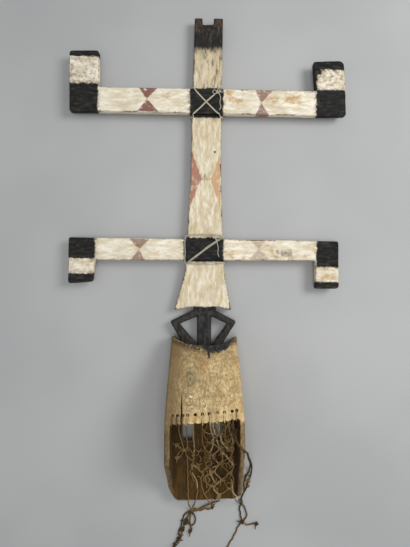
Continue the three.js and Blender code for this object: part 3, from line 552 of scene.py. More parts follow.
def makeUpperLashing():
    z = lashString["barZ"]
    low, high = 905.6, 976.2  # grooves below and above the bar
    turns = []
    for number, shift in enumerate((0.0, 2.2)):
        lift = 2.4 * number
        side = 1.6 * (2 * number - 1)
        turns += [
            [(28.5, 960, z + 1.5), (15, 947 + shift, z + 2.2), (3, 936 + shift, z + 2.2 + lift),
             (-12, 922.5 + shift, z + 0.6), (-23.5, 912.5 + shift, z), (-28.5, 909.5, 33.5),
             *roundFront(low + side * 0.7, -1, side), (34.5, 909.2, 33.5), (29 - shift, 913.5, z),
             (16 - shift, 926, z), (3 - shift, 939.5, z), (-11 - shift, 954, z),
             (-21.5 - shift * 0.6, 965.5, z), (-26.5, 972.5, 33.5),
             *roundFront(high + side * 0.7, -1, side), (34.5, 973, 33.5), (30, 966.5, z + 0.5),
             (28 - shift, 960, z + 2.5)],
        ]
    turns.append([(27, 959, z + 3), (33.5, 956, z + 1), (36.5, 948, z), (35, 936, z), (37.2, 927, z), (34, 919, z)])
    turns.append([(29, 960, z + 3), (21.5, 965.5, z + 2), (18, 961, z + 1), (22, 956, z + 3), (30, 958, z + 3.5),
        (35, 964, z + 1)])
    return turns, [(28.5, 959.8, z + 3.5), (35, 962.5, z + 2)]


def makeLowerLashing():
    z = lashString["barZ"]
    back = lashString["mastZ"]
    low, high = 560, 622  # grooves below and above the bar
    left = edgesOfMast(high)[0]
    turns = [
        # two level turns above the bar
        [(20, 620.5, 35), (10, 623.6, 30), (0, 624.5, back), (-20, 626.2, back),
         *roundFront(high + 1.8, -1, 0.0), (30, 625.8, back), (15, 627.2, back), (-5, 628.2, back),
         (-25, 627.8, back), (-38, 627, back), (left - 2, 624, 22.5)],
        # the slant over the bar, in three runs
        [(44, 623, 29), (40.5, 618.5, 34.5), (35, 614, z), (20, 604, z),
         (5, 593.5, z), (-10, 582.5, z), (-25, 571, z), (-34, 564.5, 34.5),
         *roundFront(low - 1.2, -1, -1.4), (32, 560, back), (10, 560.4, back),
         (-15, 559.2, back), (-35, 559.6, back), (-48, 560, 24.5)],
        [(38, 621.5, 33), (33, 616.5, z), (19, 607, z), (6, 598.5, z + 0.4),
         (-7, 588, z + 0.4), (-21, 577.5, z), (-33, 568.2, z), (-38.5, 564, 34),
         *roundFront(low + 1.2, -1, 1.4), (33, 557.6, back), (5, 556.6, back),
         (-20, 557.2, back), (-40, 557.8, back)],
        [(30, 613, z + 2), (17, 604.5, z + 2.3), (5, 596.2, z + 2.4),
         (-8, 586, z + 2.2), (-18, 578.5, z + 1), (-24, 574, z)],
        # upright run over the bar at the mast's left edge
        [(-47, 559, 25), (-47.8, 562.5, 31), (-47.5, 567, z), (-46.8, 585, z),
         (-47.4, 603, z), (-47, 615, z), (-46.6, 620.5, 32.5), (left + 2, 626.2, back)],
        # loose tail
        [(21.5, 621, z + 3), (26.5, 617.5, z + 1), (28, 608, z), (31, 595, z),
         (30, 583, z), (33, 573.8, z)],
    ]
    return turns, [(20.5, 620, z + 2.8), (25, 621.5, z + 1.2)]


def makeLashing(name, node, turns, knots, seed):
    dice = random.Random(seed)
    parts = []
    for points in turns:
        route = smoothRoute(inMetres(points), lashString["step"])
        tone = 0.75 + 0.2 * dice.random()
        parts += twineParts(route, lashString, tone, dice)
    for place in inMetres(knots):
        parts += knotParts(place, lashString["knotSize"], lashString, 0.85, dice)
    piece = joinParts(name, parts)
    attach(piece, "root")
    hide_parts(node)
    return piece


lashingPieces = [
    makeLashing("upperLashing", "upper_lashing", *makeUpperLashing(), 11),
    makeLashing("lowerLashing", "lower_lashing", *makeLowerLashing(), 12),
]
print("lashings are tied")


# Wood: the CAD solids, remeshed finely and worn as hand-carved wood is

# Soft random bumps, between -1 and 1, about as long as size in each direction
def softNoise(points, size, seed):
    grid = points / np.array(size)
    cell = np.floor(grid).astype(np.int64)
    part = grid - cell
    part = part * part * (3 - 2 * part)
    total = np.zeros(len(points))
    for corner in product((0, 1), repeat=3):
        key = (cell + corner) @ np.array([73856093, 19349663, 83492791]) + seed * 2654435761
        key = (key ^ (key >> 15)) * 2246822519 & 0xFFFFFFFF
        key = (key ^ (key >> 13)) * 3266489917 & 0xFFFFFFFF
        value = ((key ^ (key >> 16)) & 0xFFFF) / 32767.5 - 1
        total += value * np.prod(np.where(corner, part, 1 - part), axis=1)
    return total


def neighbourMean(values, edges, degree):
    total = np.zeros_like(values)
    for here, there in ((0, 1), (1, 0)):
        for axis in range(values.shape[1]):
            total[:, axis] += np.bincount(edges[:, here], values[edges[:, there], axis], len(values))
    return total / degree[:, None]


# The piece's mesh as a modifier changes it
def changedMesh(piece, kind, **settings):
    modifier = piece.modifiers.new(kind.lower(), kind)
    for name, value in settings.items():
        setattr(modifier, name, value)
    depsgraph = bpy.context.evaluated_depsgraph_get()
    piece.data = bpy.data.meshes.new_from_object(piece.evaluated_get(depsgraph))
    piece.modifiers.clear()
    piece.data.shade_smooth()
    return piece.data


# Copy of a CAD node with even small faces; its points are moved by reshape, then its worn and sunk places are marked
def carvedCopy(node, name, wood, reshape):
    voxel = wood["voxel"]
    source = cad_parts[node]
    mesh = source.data.copy()
    mesh.transform(source.matrix_world)
    piece = newPiece(name, mesh)
    mesh = changedMesh(piece, "REMESH", mode="VOXEL", voxel_size=voxel)
    mesh.materials.clear()
    verts = valuesOf(mesh.vertices, "co") - chin
    edges = valuesOf(mesh.edges, "vertices", 2, int)
    degree = np.maximum(np.bincount(edges.ravel(), minlength=len(verts)), 1).astype(float)
    for _ in range(wood["rounds"]):
        verts += 0.5 * (neighbourMean(verts, edges, degree) - verts)
    verts, marks = reshape(verts, valuesOf(mesh.vertex_normals, "vector"))
    verts[:, 2] = np.maximum(verts[:, 2], 0.0)
    mesh.vertices.foreach_set("co", (verts + chin).ravel())
    mesh.update()
    normals = valuesOf(mesh.vertex_normals, "vector")
    bend = np.sum((neighbourMean(verts, edges, degree) - verts) * normals, axis=1)[:, None] / voxel
    for _ in range(2):
        bend = neighbourMean(bend, edges, degree)
    marks["worn"] = np.clip(-bend[:, 0] * wood["bendToWear"], 0, 1)
    marks["sunk"] = np.clip(bend[:, 0] * wood["bendToWear"], 0, 1)
    for mark, values in marks.items():
        for _ in range(wood["softening"] if mark == "inner" else 0):
            values = neighbourMean(values[:, None], edges, degree)[:, 0]
        attribute = mesh.attributes.new(mark, "FLOAT", "POINT")
        attribute.data.foreach_set("value", values)
    mesh = changedMesh(piece, "DECIMATE", ratio=min(1.0, wood["triangles"] / (2 * len(mesh.polygons))))
    print(name, "has", len(mesh.polygons), "faces")
    return piece


maskWood = {"voxel": 0.0016, "rounds": 2, "triangles": 180000, "waves": 0.0006, "adze": 0.0011, "chips": 0.0012,
            "wall": 0.0100, "panel": 0.0090, "axisZ": 0.100, "hollowTop": 0.353, "hollowZ": 0.0325, "mastLow": 0.45,
            "bendToWear": 6, "softening": 3}
barWood = {"voxel": 0.0020, "rounds": 2, "triangles": 120000, "waves": 0.0004, "chips": 0.0016, "bendToWear": 6}
rimWear = {"notchDepth": 0.0026, "notchWidth": 0.0024, "stainWidth": 0.0030, "waver": 0.0009, "notchReach": 0.007,
           "stainReach": 0.018, "thickness": 0.0135, "halfWidth": 0.0735}
dryingCrack = {"across": -0.0485, "low": 0.221, "high": 0.272, "half": 0.0016, "opening": 0.0020, "openBelow": 0.245}


# Grooves that the cords have worn into the rim's edge, and the brown stains above them
def wearRim(verts):
    fromEdge = verts[:, 1] - rimHoles["edgeY"] - verts[:, 0] * rimHoles["tilt"]
    below = backOfHead(verts[:, 0], verts[:, 1]) - verts[:, 2]
    depth = rimWear["waver"] * softNoise(verts, (0.006, 0.05, 0.03), 9)
    stain = np.zeros(len(verts))
    for x in rimHoles["across"]:
        depth += rimWear["notchDepth"] * np.exp(-((verts[:, 0] - x) / rimWear["notchWidth"]) ** 2)
        stain += np.exp(-((verts[:, 0] - x) / rimWear["stainWidth"]) ** 2)
    near = (fromEdge > -0.003) & (below < rimWear["thickness"]) & (np.abs(verts[:, 0]) < rimWear["halfWidth"])
    verts[:, 1] += depth * near * np.clip(1 - fromEdge / rimWear["notchReach"], 0, 1)
    return stain * (fromEdge > -0.002) * np.clip(1 - fromEdge / rimWear["stainReach"], 0, 1) * (below < 0.006)


# 1 on the walls of the cord holes and of the crack, a little below the head's back; these walls get painted shade
def holeAndCrackShadePlaces(verts):
    below = backOfHead(verts[:, 0], verts[:, 1]) - verts[:, 2]
    opening = dryingCrack["opening"] * np.clip((dryingCrack["openBelow"] - verts[:, 1]) / 0.02, 0, 1)
    holeAndCrackShade = np.abs(verts[:, 0] - dryingCrack["across"]) < dryingCrack["half"] + opening
    holeAndCrackShade &= (verts[:, 1] > dryingCrack["low"]) & (verts[:, 1] < dryingCrack["high"])
    for x in rimHoles["across"]:
        y = rimHoles["edgeY"] + x * rimHoles["tilt"] + rimHoles["aboveEdge"]
        away = verts - np.array([x, y, float(backOfHead(x, y))])
        lean = np.array(rimHoles["lean"])
        radial = np.linalg.norm(away - np.outer(away @ lean, lean), axis=1)
        holeAndCrackShade |= radial < rimHoles["radius"] + 0.0006
    return (holeAndCrackShade & (below > 0.0009) & (below < 0.014)).astype(float)


def wearMask(verts, normals):
    half = halfOfHead(verts[:, 1])
    toAxis = np.stack([-verts[:, 0], np.zeros(len(verts)), maskWood["axisZ"] - verts[:, 2]], axis=1)
    facesIn = np.sum(toAxis * normals, axis=1) > 0
    inner = facesIn & (np.abs(verts[:, 0]) < half - maskWood["wall"] + 0.002) & (verts[:, 2] > maskWood["hollowZ"])
    inner &= (verts[:, 1] < maskWood["hollowTop"]) & (verts[:, 1] > 0.002)
    underPanel = verts[:, 2] < backOfHead(verts[:, 0], verts[:, 1]) - maskWood["panel"]
    inner &= underPanel | (verts[:, 1] < rimHoles["edgeY"] + verts[:, 0] * rimHoles["tilt"] + 0.001)
    waves = softNoise(verts, (0.03, 0.11, 0.03), 1) + 0.4 * softNoise(verts, (0.011, 0.04, 0.011), 2)
    cuts = -np.abs(softNoise(verts, (0.016, 0.034, 0.016), 3)) + 0.3
    chips = np.clip(softNoise(verts, (0.012, 0.02, 0.012), 4) - 0.45, 0, 1)
    mast = verts[:, 1] > maskWood["mastLow"]
    push = waves * maskWood["waves"] * np.where(mast, 0.7, 1) + inner * cuts * maskWood["adze"] * 2
    push -= chips * maskWood["chips"] * np.where(verts[:, 2] > 0.002, 1, 0)
    holeAndCrackShade = holeAndCrackShadePlaces(verts)
    verts = verts + normals * push[:, None]
    return verts, {"inner": inner.astype(float), "holeAndCrackShade": holeAndCrackShade, "stain": wearRim(verts)}


def wearBar(verts, normals):
    waves = softNoise(verts, (0.10, 0.03, 0.03), 5) + 0.4 * softNoise(verts, (0.04, 0.011, 0.011), 6)
    onEdge = np.clip(1.25 - np.max(np.abs(normals), axis=1) * 1.1, 0, 1)
    chips = np.clip(softNoise(verts, (0.018, 0.010, 0.010), 7) - 0.2, 0, 1) * onEdge * 2.4
    push = waves * barWood["waves"] - chips * barWood["chips"]
    return verts + normals * push[:, None], {}


mask = carvedCopy("mask", "carvedMask", maskWood, wearMask)
upperBar = carvedCopy("upper_crossbar", "upperCrossbar", barWood, wearBar)
lowerBar = carvedCopy("lower_crossbar", "lowerCrossbar", barWood, wearBar)
for piece, node, slot in (
    (mask, "mask", "carved_wood"),
    (upperBar, "upper_crossbar", "painted_wood"),
    (lowerBar, "lower_crossbar", "painted_wood"),
):
    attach(piece, "root")
    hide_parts(node)
print("wood is carved")


# Shader helpers: each adds to the tree that is being built, takes sockets or plain values, and returns a socket

building = {}


def link(value, socket):
    building["tree"].links.new(value, socket)


def fill(node, inputs):
    for key, value in inputs.items():
        if isinstance(value, bpy.types.NodeSocket):
            link(value, node.inputs[key])
        else:
            node.inputs[key].default_value = value


# A node with its inputs filled; an input is named or numbered
def addNode(kind, inputs, **settings):
    node = building["tree"].nodes.new("ShaderNode" + kind)
    for name, value in settings.items():
        setattr(node, name, value)
    fill(node, inputs)
    return node


def maths(operation):
    def apply(a, b=0.0, c=0.0, clamp=False):
        return addNode("Math", {0: a, 1: b, 2: c}, operation=operation, use_clamp=clamp).outputs[0]
    return apply


plus, minus, times, over = maths("ADD"), maths("SUBTRACT"), maths("MULTIPLY"), maths("DIVIDE")
most, least, timesPlus = maths("MAXIMUM"), maths("MINIMUM"), maths("MULTIPLY_ADD")
above, below, absolute = maths("GREATER_THAN"), maths("LESS_THAN"), maths("ABSOLUTE")
sine, root = maths("SINE"), maths("SQRT")


def vectors(operation, inputs):
    return addNode("VectorMath", inputs, operation=operation).outputs[0]


def join(x, y, z=0.0):
    return addNode("CombineXYZ", {0: x, 1: y, 2: z}).outputs[0]


def blend(amount, a, b):
    return addNode("Mix", {0: amount, 6: a, 7: b}, data_type="RGBA").outputs[2]


def ramp(value, low, high, toLow=0.0, toHigh=1.0):
    inputs = {"Value": value, "From Min": low, "From Max": high, "To Min": toLow, "To Max": toHigh}
    return addNode("MapRange", inputs, interpolation_type="SMOOTHSTEP").outputs["Result"]


# Noise between 0 and 1; stretch is the length of its spots in millimetres along X, Y and Z
def spots(place, stretch, detail=3.0, rough=0.55, seed=0.0):
    scaled = vectors("MULTIPLY", {0: place, 1: [1 / length for length in stretch]})
    moved = vectors("ADD", {0: scaled, 1: (seed * 7.3, seed * 3.1, seed * 5.7)})
    inputs = {"Vector": moved, "Scale": 1.0, "Detail": detail, "Roughness": rough}
    return addNode("TexNoise", inputs).outputs["Fac"]


def axesOf(place):
    return addNode("SeparateXYZ", {0: place}).outputs


def rgb(red, green, blue):
    linear = [(c / 255 / 12.92) if c < 11 else ((c / 255 + 0.055) / 1.055) ** 2.4 for c in (red, green, blue)]
    return (*linear, 1.0)


# Shader node groups that several finishes use

# A node group of numbers, apart from the place: build takes its inputs and returns its outputs by their names
def makeGroup(name, labels, build):
    group = bpy.data.node_groups.new(name, "ShaderNodeTree")
    building["tree"] = group
    for label in labels:
        kind = "NodeSocketVector" if label == "Place" else "NodeSocketFloat"
        group.interface.new_socket(label, in_out="INPUT", socket_type=kind)
    given = group.nodes.new("NodeGroupInput").outputs
    made = build(*[given[label] for label in labels])
    for label in made:
        group.interface.new_socket(label, in_out="OUTPUT", socket_type="NodeSocketFloat")
    fill(group.nodes.new("NodeGroupOutput"), made)
    return group


def useGroup(group, *values):
    node = building["tree"].nodes.new("ShaderNodeGroup")
    node.node_tree = group
    fill(node, dict(enumerate(values)))
    return node.outputs


def maskOf(group, *values):
    return useGroup(group, *values)["Mask"]


# Painted rectangle with soft edges, in millimetres
def paintedRectangle(place, left, right, low, high, soft):
    x, y, _ = axesOf(place)
    inside = 1.0
    for value, edge, way in ((x, left, 1), (x, right, -1), (y, low, 1), (y, high, -1)):
        inside = least(inside, plus(over(times(minus(value, edge), way), soft), 0.5, clamp=True))
    return {"Mask": inside}


# Painted hourglass: two triangles that meet at a point, their outer corners given on the two edges
def paintedHourglass(place, pointX, pointY, reach, highLeft, highRight, lowLeft, lowRight, soft):
    x, y, _ = axesOf(place)
    rise = over(minus(y, pointY), reach)
    halves = []
    for way, left, right in ((1, highLeft, highRight), (-1, lowLeft, lowRight)):
        t = times(rise, way)
        fromLeft = over(minus(x, timesPlus(t, minus(left, pointX), pointX)), soft)
        fromRight = over(minus(timesPlus(t, minus(right, pointX), pointX), x), soft)
        within = plus(least(fromLeft, fromRight), 0.5, clamp=True)
        halves.append(times(times(within, above(t, 0.0)), below(t, 1.0)))
    return {"Mask": most(*halves)}


# Wood grain along Y: broad streaks, fine pores, and a height for the bump
def grainAlong(place, warp):
    x, y, z = axesOf(place)
    sway = minus(spots(place, (40, 90, 40), 2, 0.5, 1), 0.5)
    bent = join(timesPlus(sway, warp, x), y, z)
    streaks = spots(bent, (3.6, 90, 3.6), 4, 0.62, 2)
    pores = spots(bent, (0.9, 24, 0.9), 3, 0.6, 3)
    return {"Streaks": streaks, "Pores": pores, "Height": timesPlus(streaks, 0.6, times(pores, 0.4))}


# Places where paint has come off: on worn edges, and in flakes that follow the grain
def lostPaint(place, worn, amount):
    flakes = spots(place, (9, 26, 9), 6, 0.68, 4)
    fine = spots(place, (1.6, 5, 1.6), 4, 0.6, 5)
    both = timesPlus(fine, 0.35, times(flakes, 0.65))
    return {"Mask": ramp(timesPlus(worn, 0.42, plus(both, amount)), 0.66, 0.72)}


# Dust and old dirt: it lies in sunk places and in faint clouds
def lodgedDirt(place, sunk, amount):
    clouds = ramp(spots(place, (26, 40, 26), 5, 0.6, 6), 0.42, 0.72)
    return {"Mask": times(plus(times(clouds, 0.6), sunk, clamp=True), amount, clamp=True)}


# Thin dark crack along Y with a wavering line
def waveringCrack(place, across, low, high, width):
    x, y, _ = axesOf(place)
    sway = minus(spots(place, (400, 14, 400), 4, 0.6, 8), 0.5)
    offset = absolute(minus(timesPlus(sway, 5.0, x), across))
    t = over(minus(y, low), minus(high, low))
    swell = times(times(t, minus(1.0, t)), 4.0)
    line = ramp(minus(times(most(swell, 0.0), width), offset), -0.25, 0.1)
    return {"Mask": times(line, above(swell, 0.02))}


paintPatch = makeGroup("paintPatch", ("Place", "Left", "Right", "Low", "High", "Soft"), paintedRectangle)
paintHourglass = makeGroup("paintHourglass", ("Place", "Point X", "Point Y", "Reach", "High Left", "High Right",
                                              "Low Left", "Low Right", "Soft"), paintedHourglass)
woodGrain = makeGroup("woodGrain", ("Place", "Warp"), grainAlong)
paintLoss = makeGroup("paintLoss", ("Place", "Worn", "Amount"), lostPaint)
grime = makeGroup("grime", ("Place", "Sunk", "Amount"), lodgedDirt)
crackLine = makeGroup("crackLine", ("Place", "Across", "Low", "High", "Width"), waveringCrack)


def newFinish(name, shine=0.5, rough=None):
    finish = bpy.data.materials.new(name)
    finish.use_nodes = True
    building["tree"] = finish.node_tree
    finish.node_tree.nodes.clear()
    shader = addNode("BsdfPrincipled", {"Specular IOR Level": shine, **({"Roughness": rough} if rough else {})})
    addNode("OutputMaterial", {"Surface": shader.outputs[0]})
    return finish, shader.inputs


# Place on the mask in millimetres from the middle of the chin
def placeInMillimetres():
    here = addNode("TexCoord", {}).outputs["Object"]
    return vectors("SCALE", {0: vectors("SUBTRACT", {0: here, 1: chin}), "Scale": 1000.0})


# The same place with a ragged shift, for hand-painted edges
def raggedPlace(place, reach, size):
    inputs = {"Vector": place, "Scale": 1 / size, "Detail": 4.0, "Roughness": 0.6}
    colour = addNode("TexNoise", inputs).outputs["Color"]
    centred = vectors("SUBTRACT", {0: colour, 1: (0.5, 0.5, 0.5)})
    return vectors("ADD", {0: place, 1: vectors("SCALE", {0: centred, "Scale": reach})})


def mark(name):
    return addNode("Attribute", {}, attribute_name=name).outputs["Fac"]


def bump(height, strength, distance):
    inputs = {"Height": height, "Strength": strength, "Distance": distance}
    return addNode("Bump", inputs).outputs["Normal"]


paints = {
    "white": rgb(200, 187, 155), "chalk": rgb(238, 231, 214), "cream": rgb(184, 158, 112),
    "black": rgb(24, 25, 25), "redOchre": rgb(120, 80, 70),
    "tanOchre": rgb(180, 146, 102), "yellow": rgb(182, 144, 88),
    "smear": rgb(92, 84, 56),
}


# Patches of another colour, where noise is between two levels
def mottled(colour, place, stretch, detail, rough, seed, low, high, strength, tone):
    return blend(ramp(spots(place, stretch, detail, rough, seed), low, high, 0.0, strength), colour, tone)


# White kaolin paint with brush smears along Y, cream stains, grey dirt and dark specks
def kaolinColour(place, sunk, stain):
    base = mottled(paints["white"], place, (7, 30, 7), 5, 0.66, 11, 0.36, 0.64, 1.0, paints["chalk"])
    stains = ramp(spots(place, (12, 40, 12), 5, 0.66, 12), 0.44, 0.68)
    base = blend(times(stains, stain, clamp=True), base, paints["cream"])
    base = mottled(base, place, (1.3, 22, 1.3), 3, 0.65, 13, 0.6, 0.74, 0.5, paints["tanOchre"])
    base = blend(maskOf(grime, place, sunk, 0.5), base, rgb(150, 136, 112))
    return mottled(base, place, (2.6, 3.4, 2.6), 2, 0.6, 14, 0.7, 0.76, 0.75, rgb(92, 74, 54))


def bareWood(place, dark, middle, pale):
    grain = useGroup(woodGrain, place, 9.0)
    colour = blend(ramp(grain["Streaks"], 0.34, 0.66), dark, pale)
    colour = blend(0.45, colour, middle)
    pores = ramp(grain["Pores"], 0.56, 0.72, 0.0, 0.5)
    return blend(pores, colour, dark), grain["Height"]


# Mask: weathered brown head, dark hollow, black figure, white mast with a charred top. All in millimetres
maskZones = {
    "figureZ": 30.5, "figureLow": 371.5, "mastLow": 449.3, "neckHigh": 456.5, "neckHalf": 28.5, "charLow": 1069.0,
    # where the spilt black begins: its rise or fall in millimetres between two places across the head
    "spill": [(-18, -48, 4.5), (-14, 10, -14.0), (30, 46, 5.0), (46, 71, 25.0)],
    "spillLeft": -49.0, "drips": [(6.5, 11.5, 347, 364)],
    "knot": (-32.0, 308.0), "nail": (23.0, 823.0),
    # painted patches as left, right, low and high edges: the pitted place, and the smear at the point of the red
    "pits": (-38.0, 10.0, 250.0, 284.0), "redTip": (-12.0, 4.0, 746.0, 770.0),
    # the crack's place across, its ends and its width
    "crack": (-48.5, 216.0, 279.0, 1.9),
    # low and high edges of the black squares under the two bars
    "crossings": [(904.0, 974.0), (563.0, 620.0)],
    # the red half shapes at the mast's edges, along the mask and then across: point, reach, outer corners, softness
    "leftRed": (759.0, -9.0, 26.0, 759.0, 759.0, 694.0, 838.0, 4.0),
    "rightRed": (757.0, 14.0, 22.0, 690.0, 820.0, 757.0, 757.0, 4.0),
}


def headColour(place, inner, worn, sunk):
    x, y, z = axesOf(place)
    colour, height = bareWood(place, rgb(118, 92, 54), rgb(190, 163, 116), rgb(224, 200, 150))
    # brown clouds, orange places, bright streaks and dark flecks
    colour = mottled(colour, place, (22, 30, 22), 5, 0.66, 21, 0.42, 0.62, 0.5, rgb(138, 112, 74))
    colour = mottled(colour, place, (30, 44, 30), 4, 0.6, 28, 0.52, 0.72, 0.4, rgb(172, 122, 64))
    colour = mottled(colour, place, (9, 26, 9), 5, 0.66, 20, 0.48, 0.68, 0.55, rgb(228, 206, 156))
    colour = mottled(colour, place, (3.4, 5, 3.4), 4, 0.74, 22, 0.54, 0.68, 0.6, rgb(92, 76, 44))
    # painted shade: darker towards the left side and the left ear, where the back turns away from the light; darker
    # also in the upper left
    colour = blend(ramp(x, -30.0, -74.0, 0.0, 0.8), colour, rgb(100, 80, 52))
    upLeft = times(ramp(y, 318.0, 372.0), ramp(x, 20.0, -50.0))
    colour = blend(times(upLeft, 0.5), colour, rgb(108, 84, 54))
    # brown smudges below the crescent's edge, which dips in the middle of the head
    crescent = timesPlus(times(x, x), 0.0036, 369.0)
    smudge = ramp(minus(y, crescent), -19.0, -4.0)
    smudgeSpots = ramp(spots(place, (6, 4, 6), 5, 0.72, 49), 0.34, 0.52)
    colour = blend(times(smudge, smudgeSpots), colour, rgb(60, 44, 27))
    # wood knot, and the grain that runs round it in wide ovals
    dx = over(minus(x, maskZones["knot"][0]), 10.0)
    dy = over(minus(y, maskZones["knot"][1]), 17.0)
    away = root(plus(times(dx, dx), times(dy, dy)))
    sway = timesPlus(spots(place, (16, 20, 16), 4, 0.6, 23), 1.3, away)
    rings = timesPlus(sine(times(sway, 8.0)), 0.5, 0.5)
    ringPatch = ramp(spots(place, (9, 9, 9), 3, 0.6, 29), 0.3, 0.55)
    wide = times(ramp(away, 8.0, 0.8), times(rings, ringPatch))
    colour = blend(times(wide, 0.5), colour, rgb(108, 94, 62))
    nearKnot = ramp(away, 1.7, 0.4)
    knotColour = blend(rings, rgb(92, 86, 62), rgb(150, 136, 100))
    colour = blend(times(nearKnot, 0.85), colour, knotColour)
    # pale broken pits and bright worn rim
    pits = spots(place, (3.0, 3.4, 3.0), 3, 0.6, 24)
    pitZone = ramp(spots(place, (26, 20, 26), 2, 0.5, 25), 0.4, 0.56)
    pitZone = times(pitZone, maskOf(paintPatch, place, *maskZones["pits"], 14.0))
    palePits = times(ramp(pits, 0.54, 0.6), pitZone)
    colour = blend(palePits, colour, rgb(238, 222, 184))
    darkPits = times(ramp(pits, 0.42, 0.36), pitZone)
    colour = blend(darkPits, colour, rgb(70, 54, 32))
    fromRim = minus(y, timesPlus(x, rimHoles["tilt"], rimHoles["edgeY"] * 1000))
    rim = times(ramp(fromRim, 34.0, 2.0), ramp(z, 100.0, 130.0))
    rim = times(rim, ramp(x, -60.0, -30.0))
    rimSpots = ramp(spots(place, (5, 9, 5), 4, 0.66, 26), 0.36, 0.6)
    colour = blend(times(times(rim, rimSpots), 0.75), colour, rgb(216, 188, 132))
    # dark stains that run from the cord holes down to the rim
    stainSpots = ramp(spots(place, (3, 5, 3), 4, 0.66, 27), 0.32, 0.56)
    stain = times(mark("stain"), stainSpots, clamp=True)
    colour = blend(times(stain, 0.85), colour, rgb(78, 58, 32))
    # the tops of the side walls are browner than the back
    wallTop = times(ramp(fromRim, 0.0, -8.0), ramp(absolute(x), 70.0, 74.0))
    wallSpots = ramp(spots(place, (5, 8, 8), 5, 0.74, 37), 0.42, 0.56)
    wallSpots = most(wallSpots, ramp(x, -20.0, 20.0, 0.2, 0.65))
    colour = blend(times(wallTop, wallSpots), colour, rgb(80, 60, 35))
    colour = blend(times(worn, 0.35), colour, rgb(206, 178, 128))
    colour = blend(maskOf(crackLine, place, *maskZones["crack"]), colour, rgb(22, 16, 10))
    colour = blend(maskOf(grime, place, sunk, 0.55), colour, rgb(98, 78, 48))
    # the hollow is stained dark, darkest in its corners
    hollow, _ = bareWood(place, rgb(48, 31, 5), rgb(74, 50, 10), rgb(102, 74, 20))
    hollow = mottled(hollow, place, (20, 40, 20), 5, 0.62, 39, 0.4, 0.66, 0.7, rgb(44, 30, 9))
    hollow = blend(times(sunk, 0.8, clamp=True), hollow, rgb(26, 17, 7))
    return blend(inner, colour, hollow), height


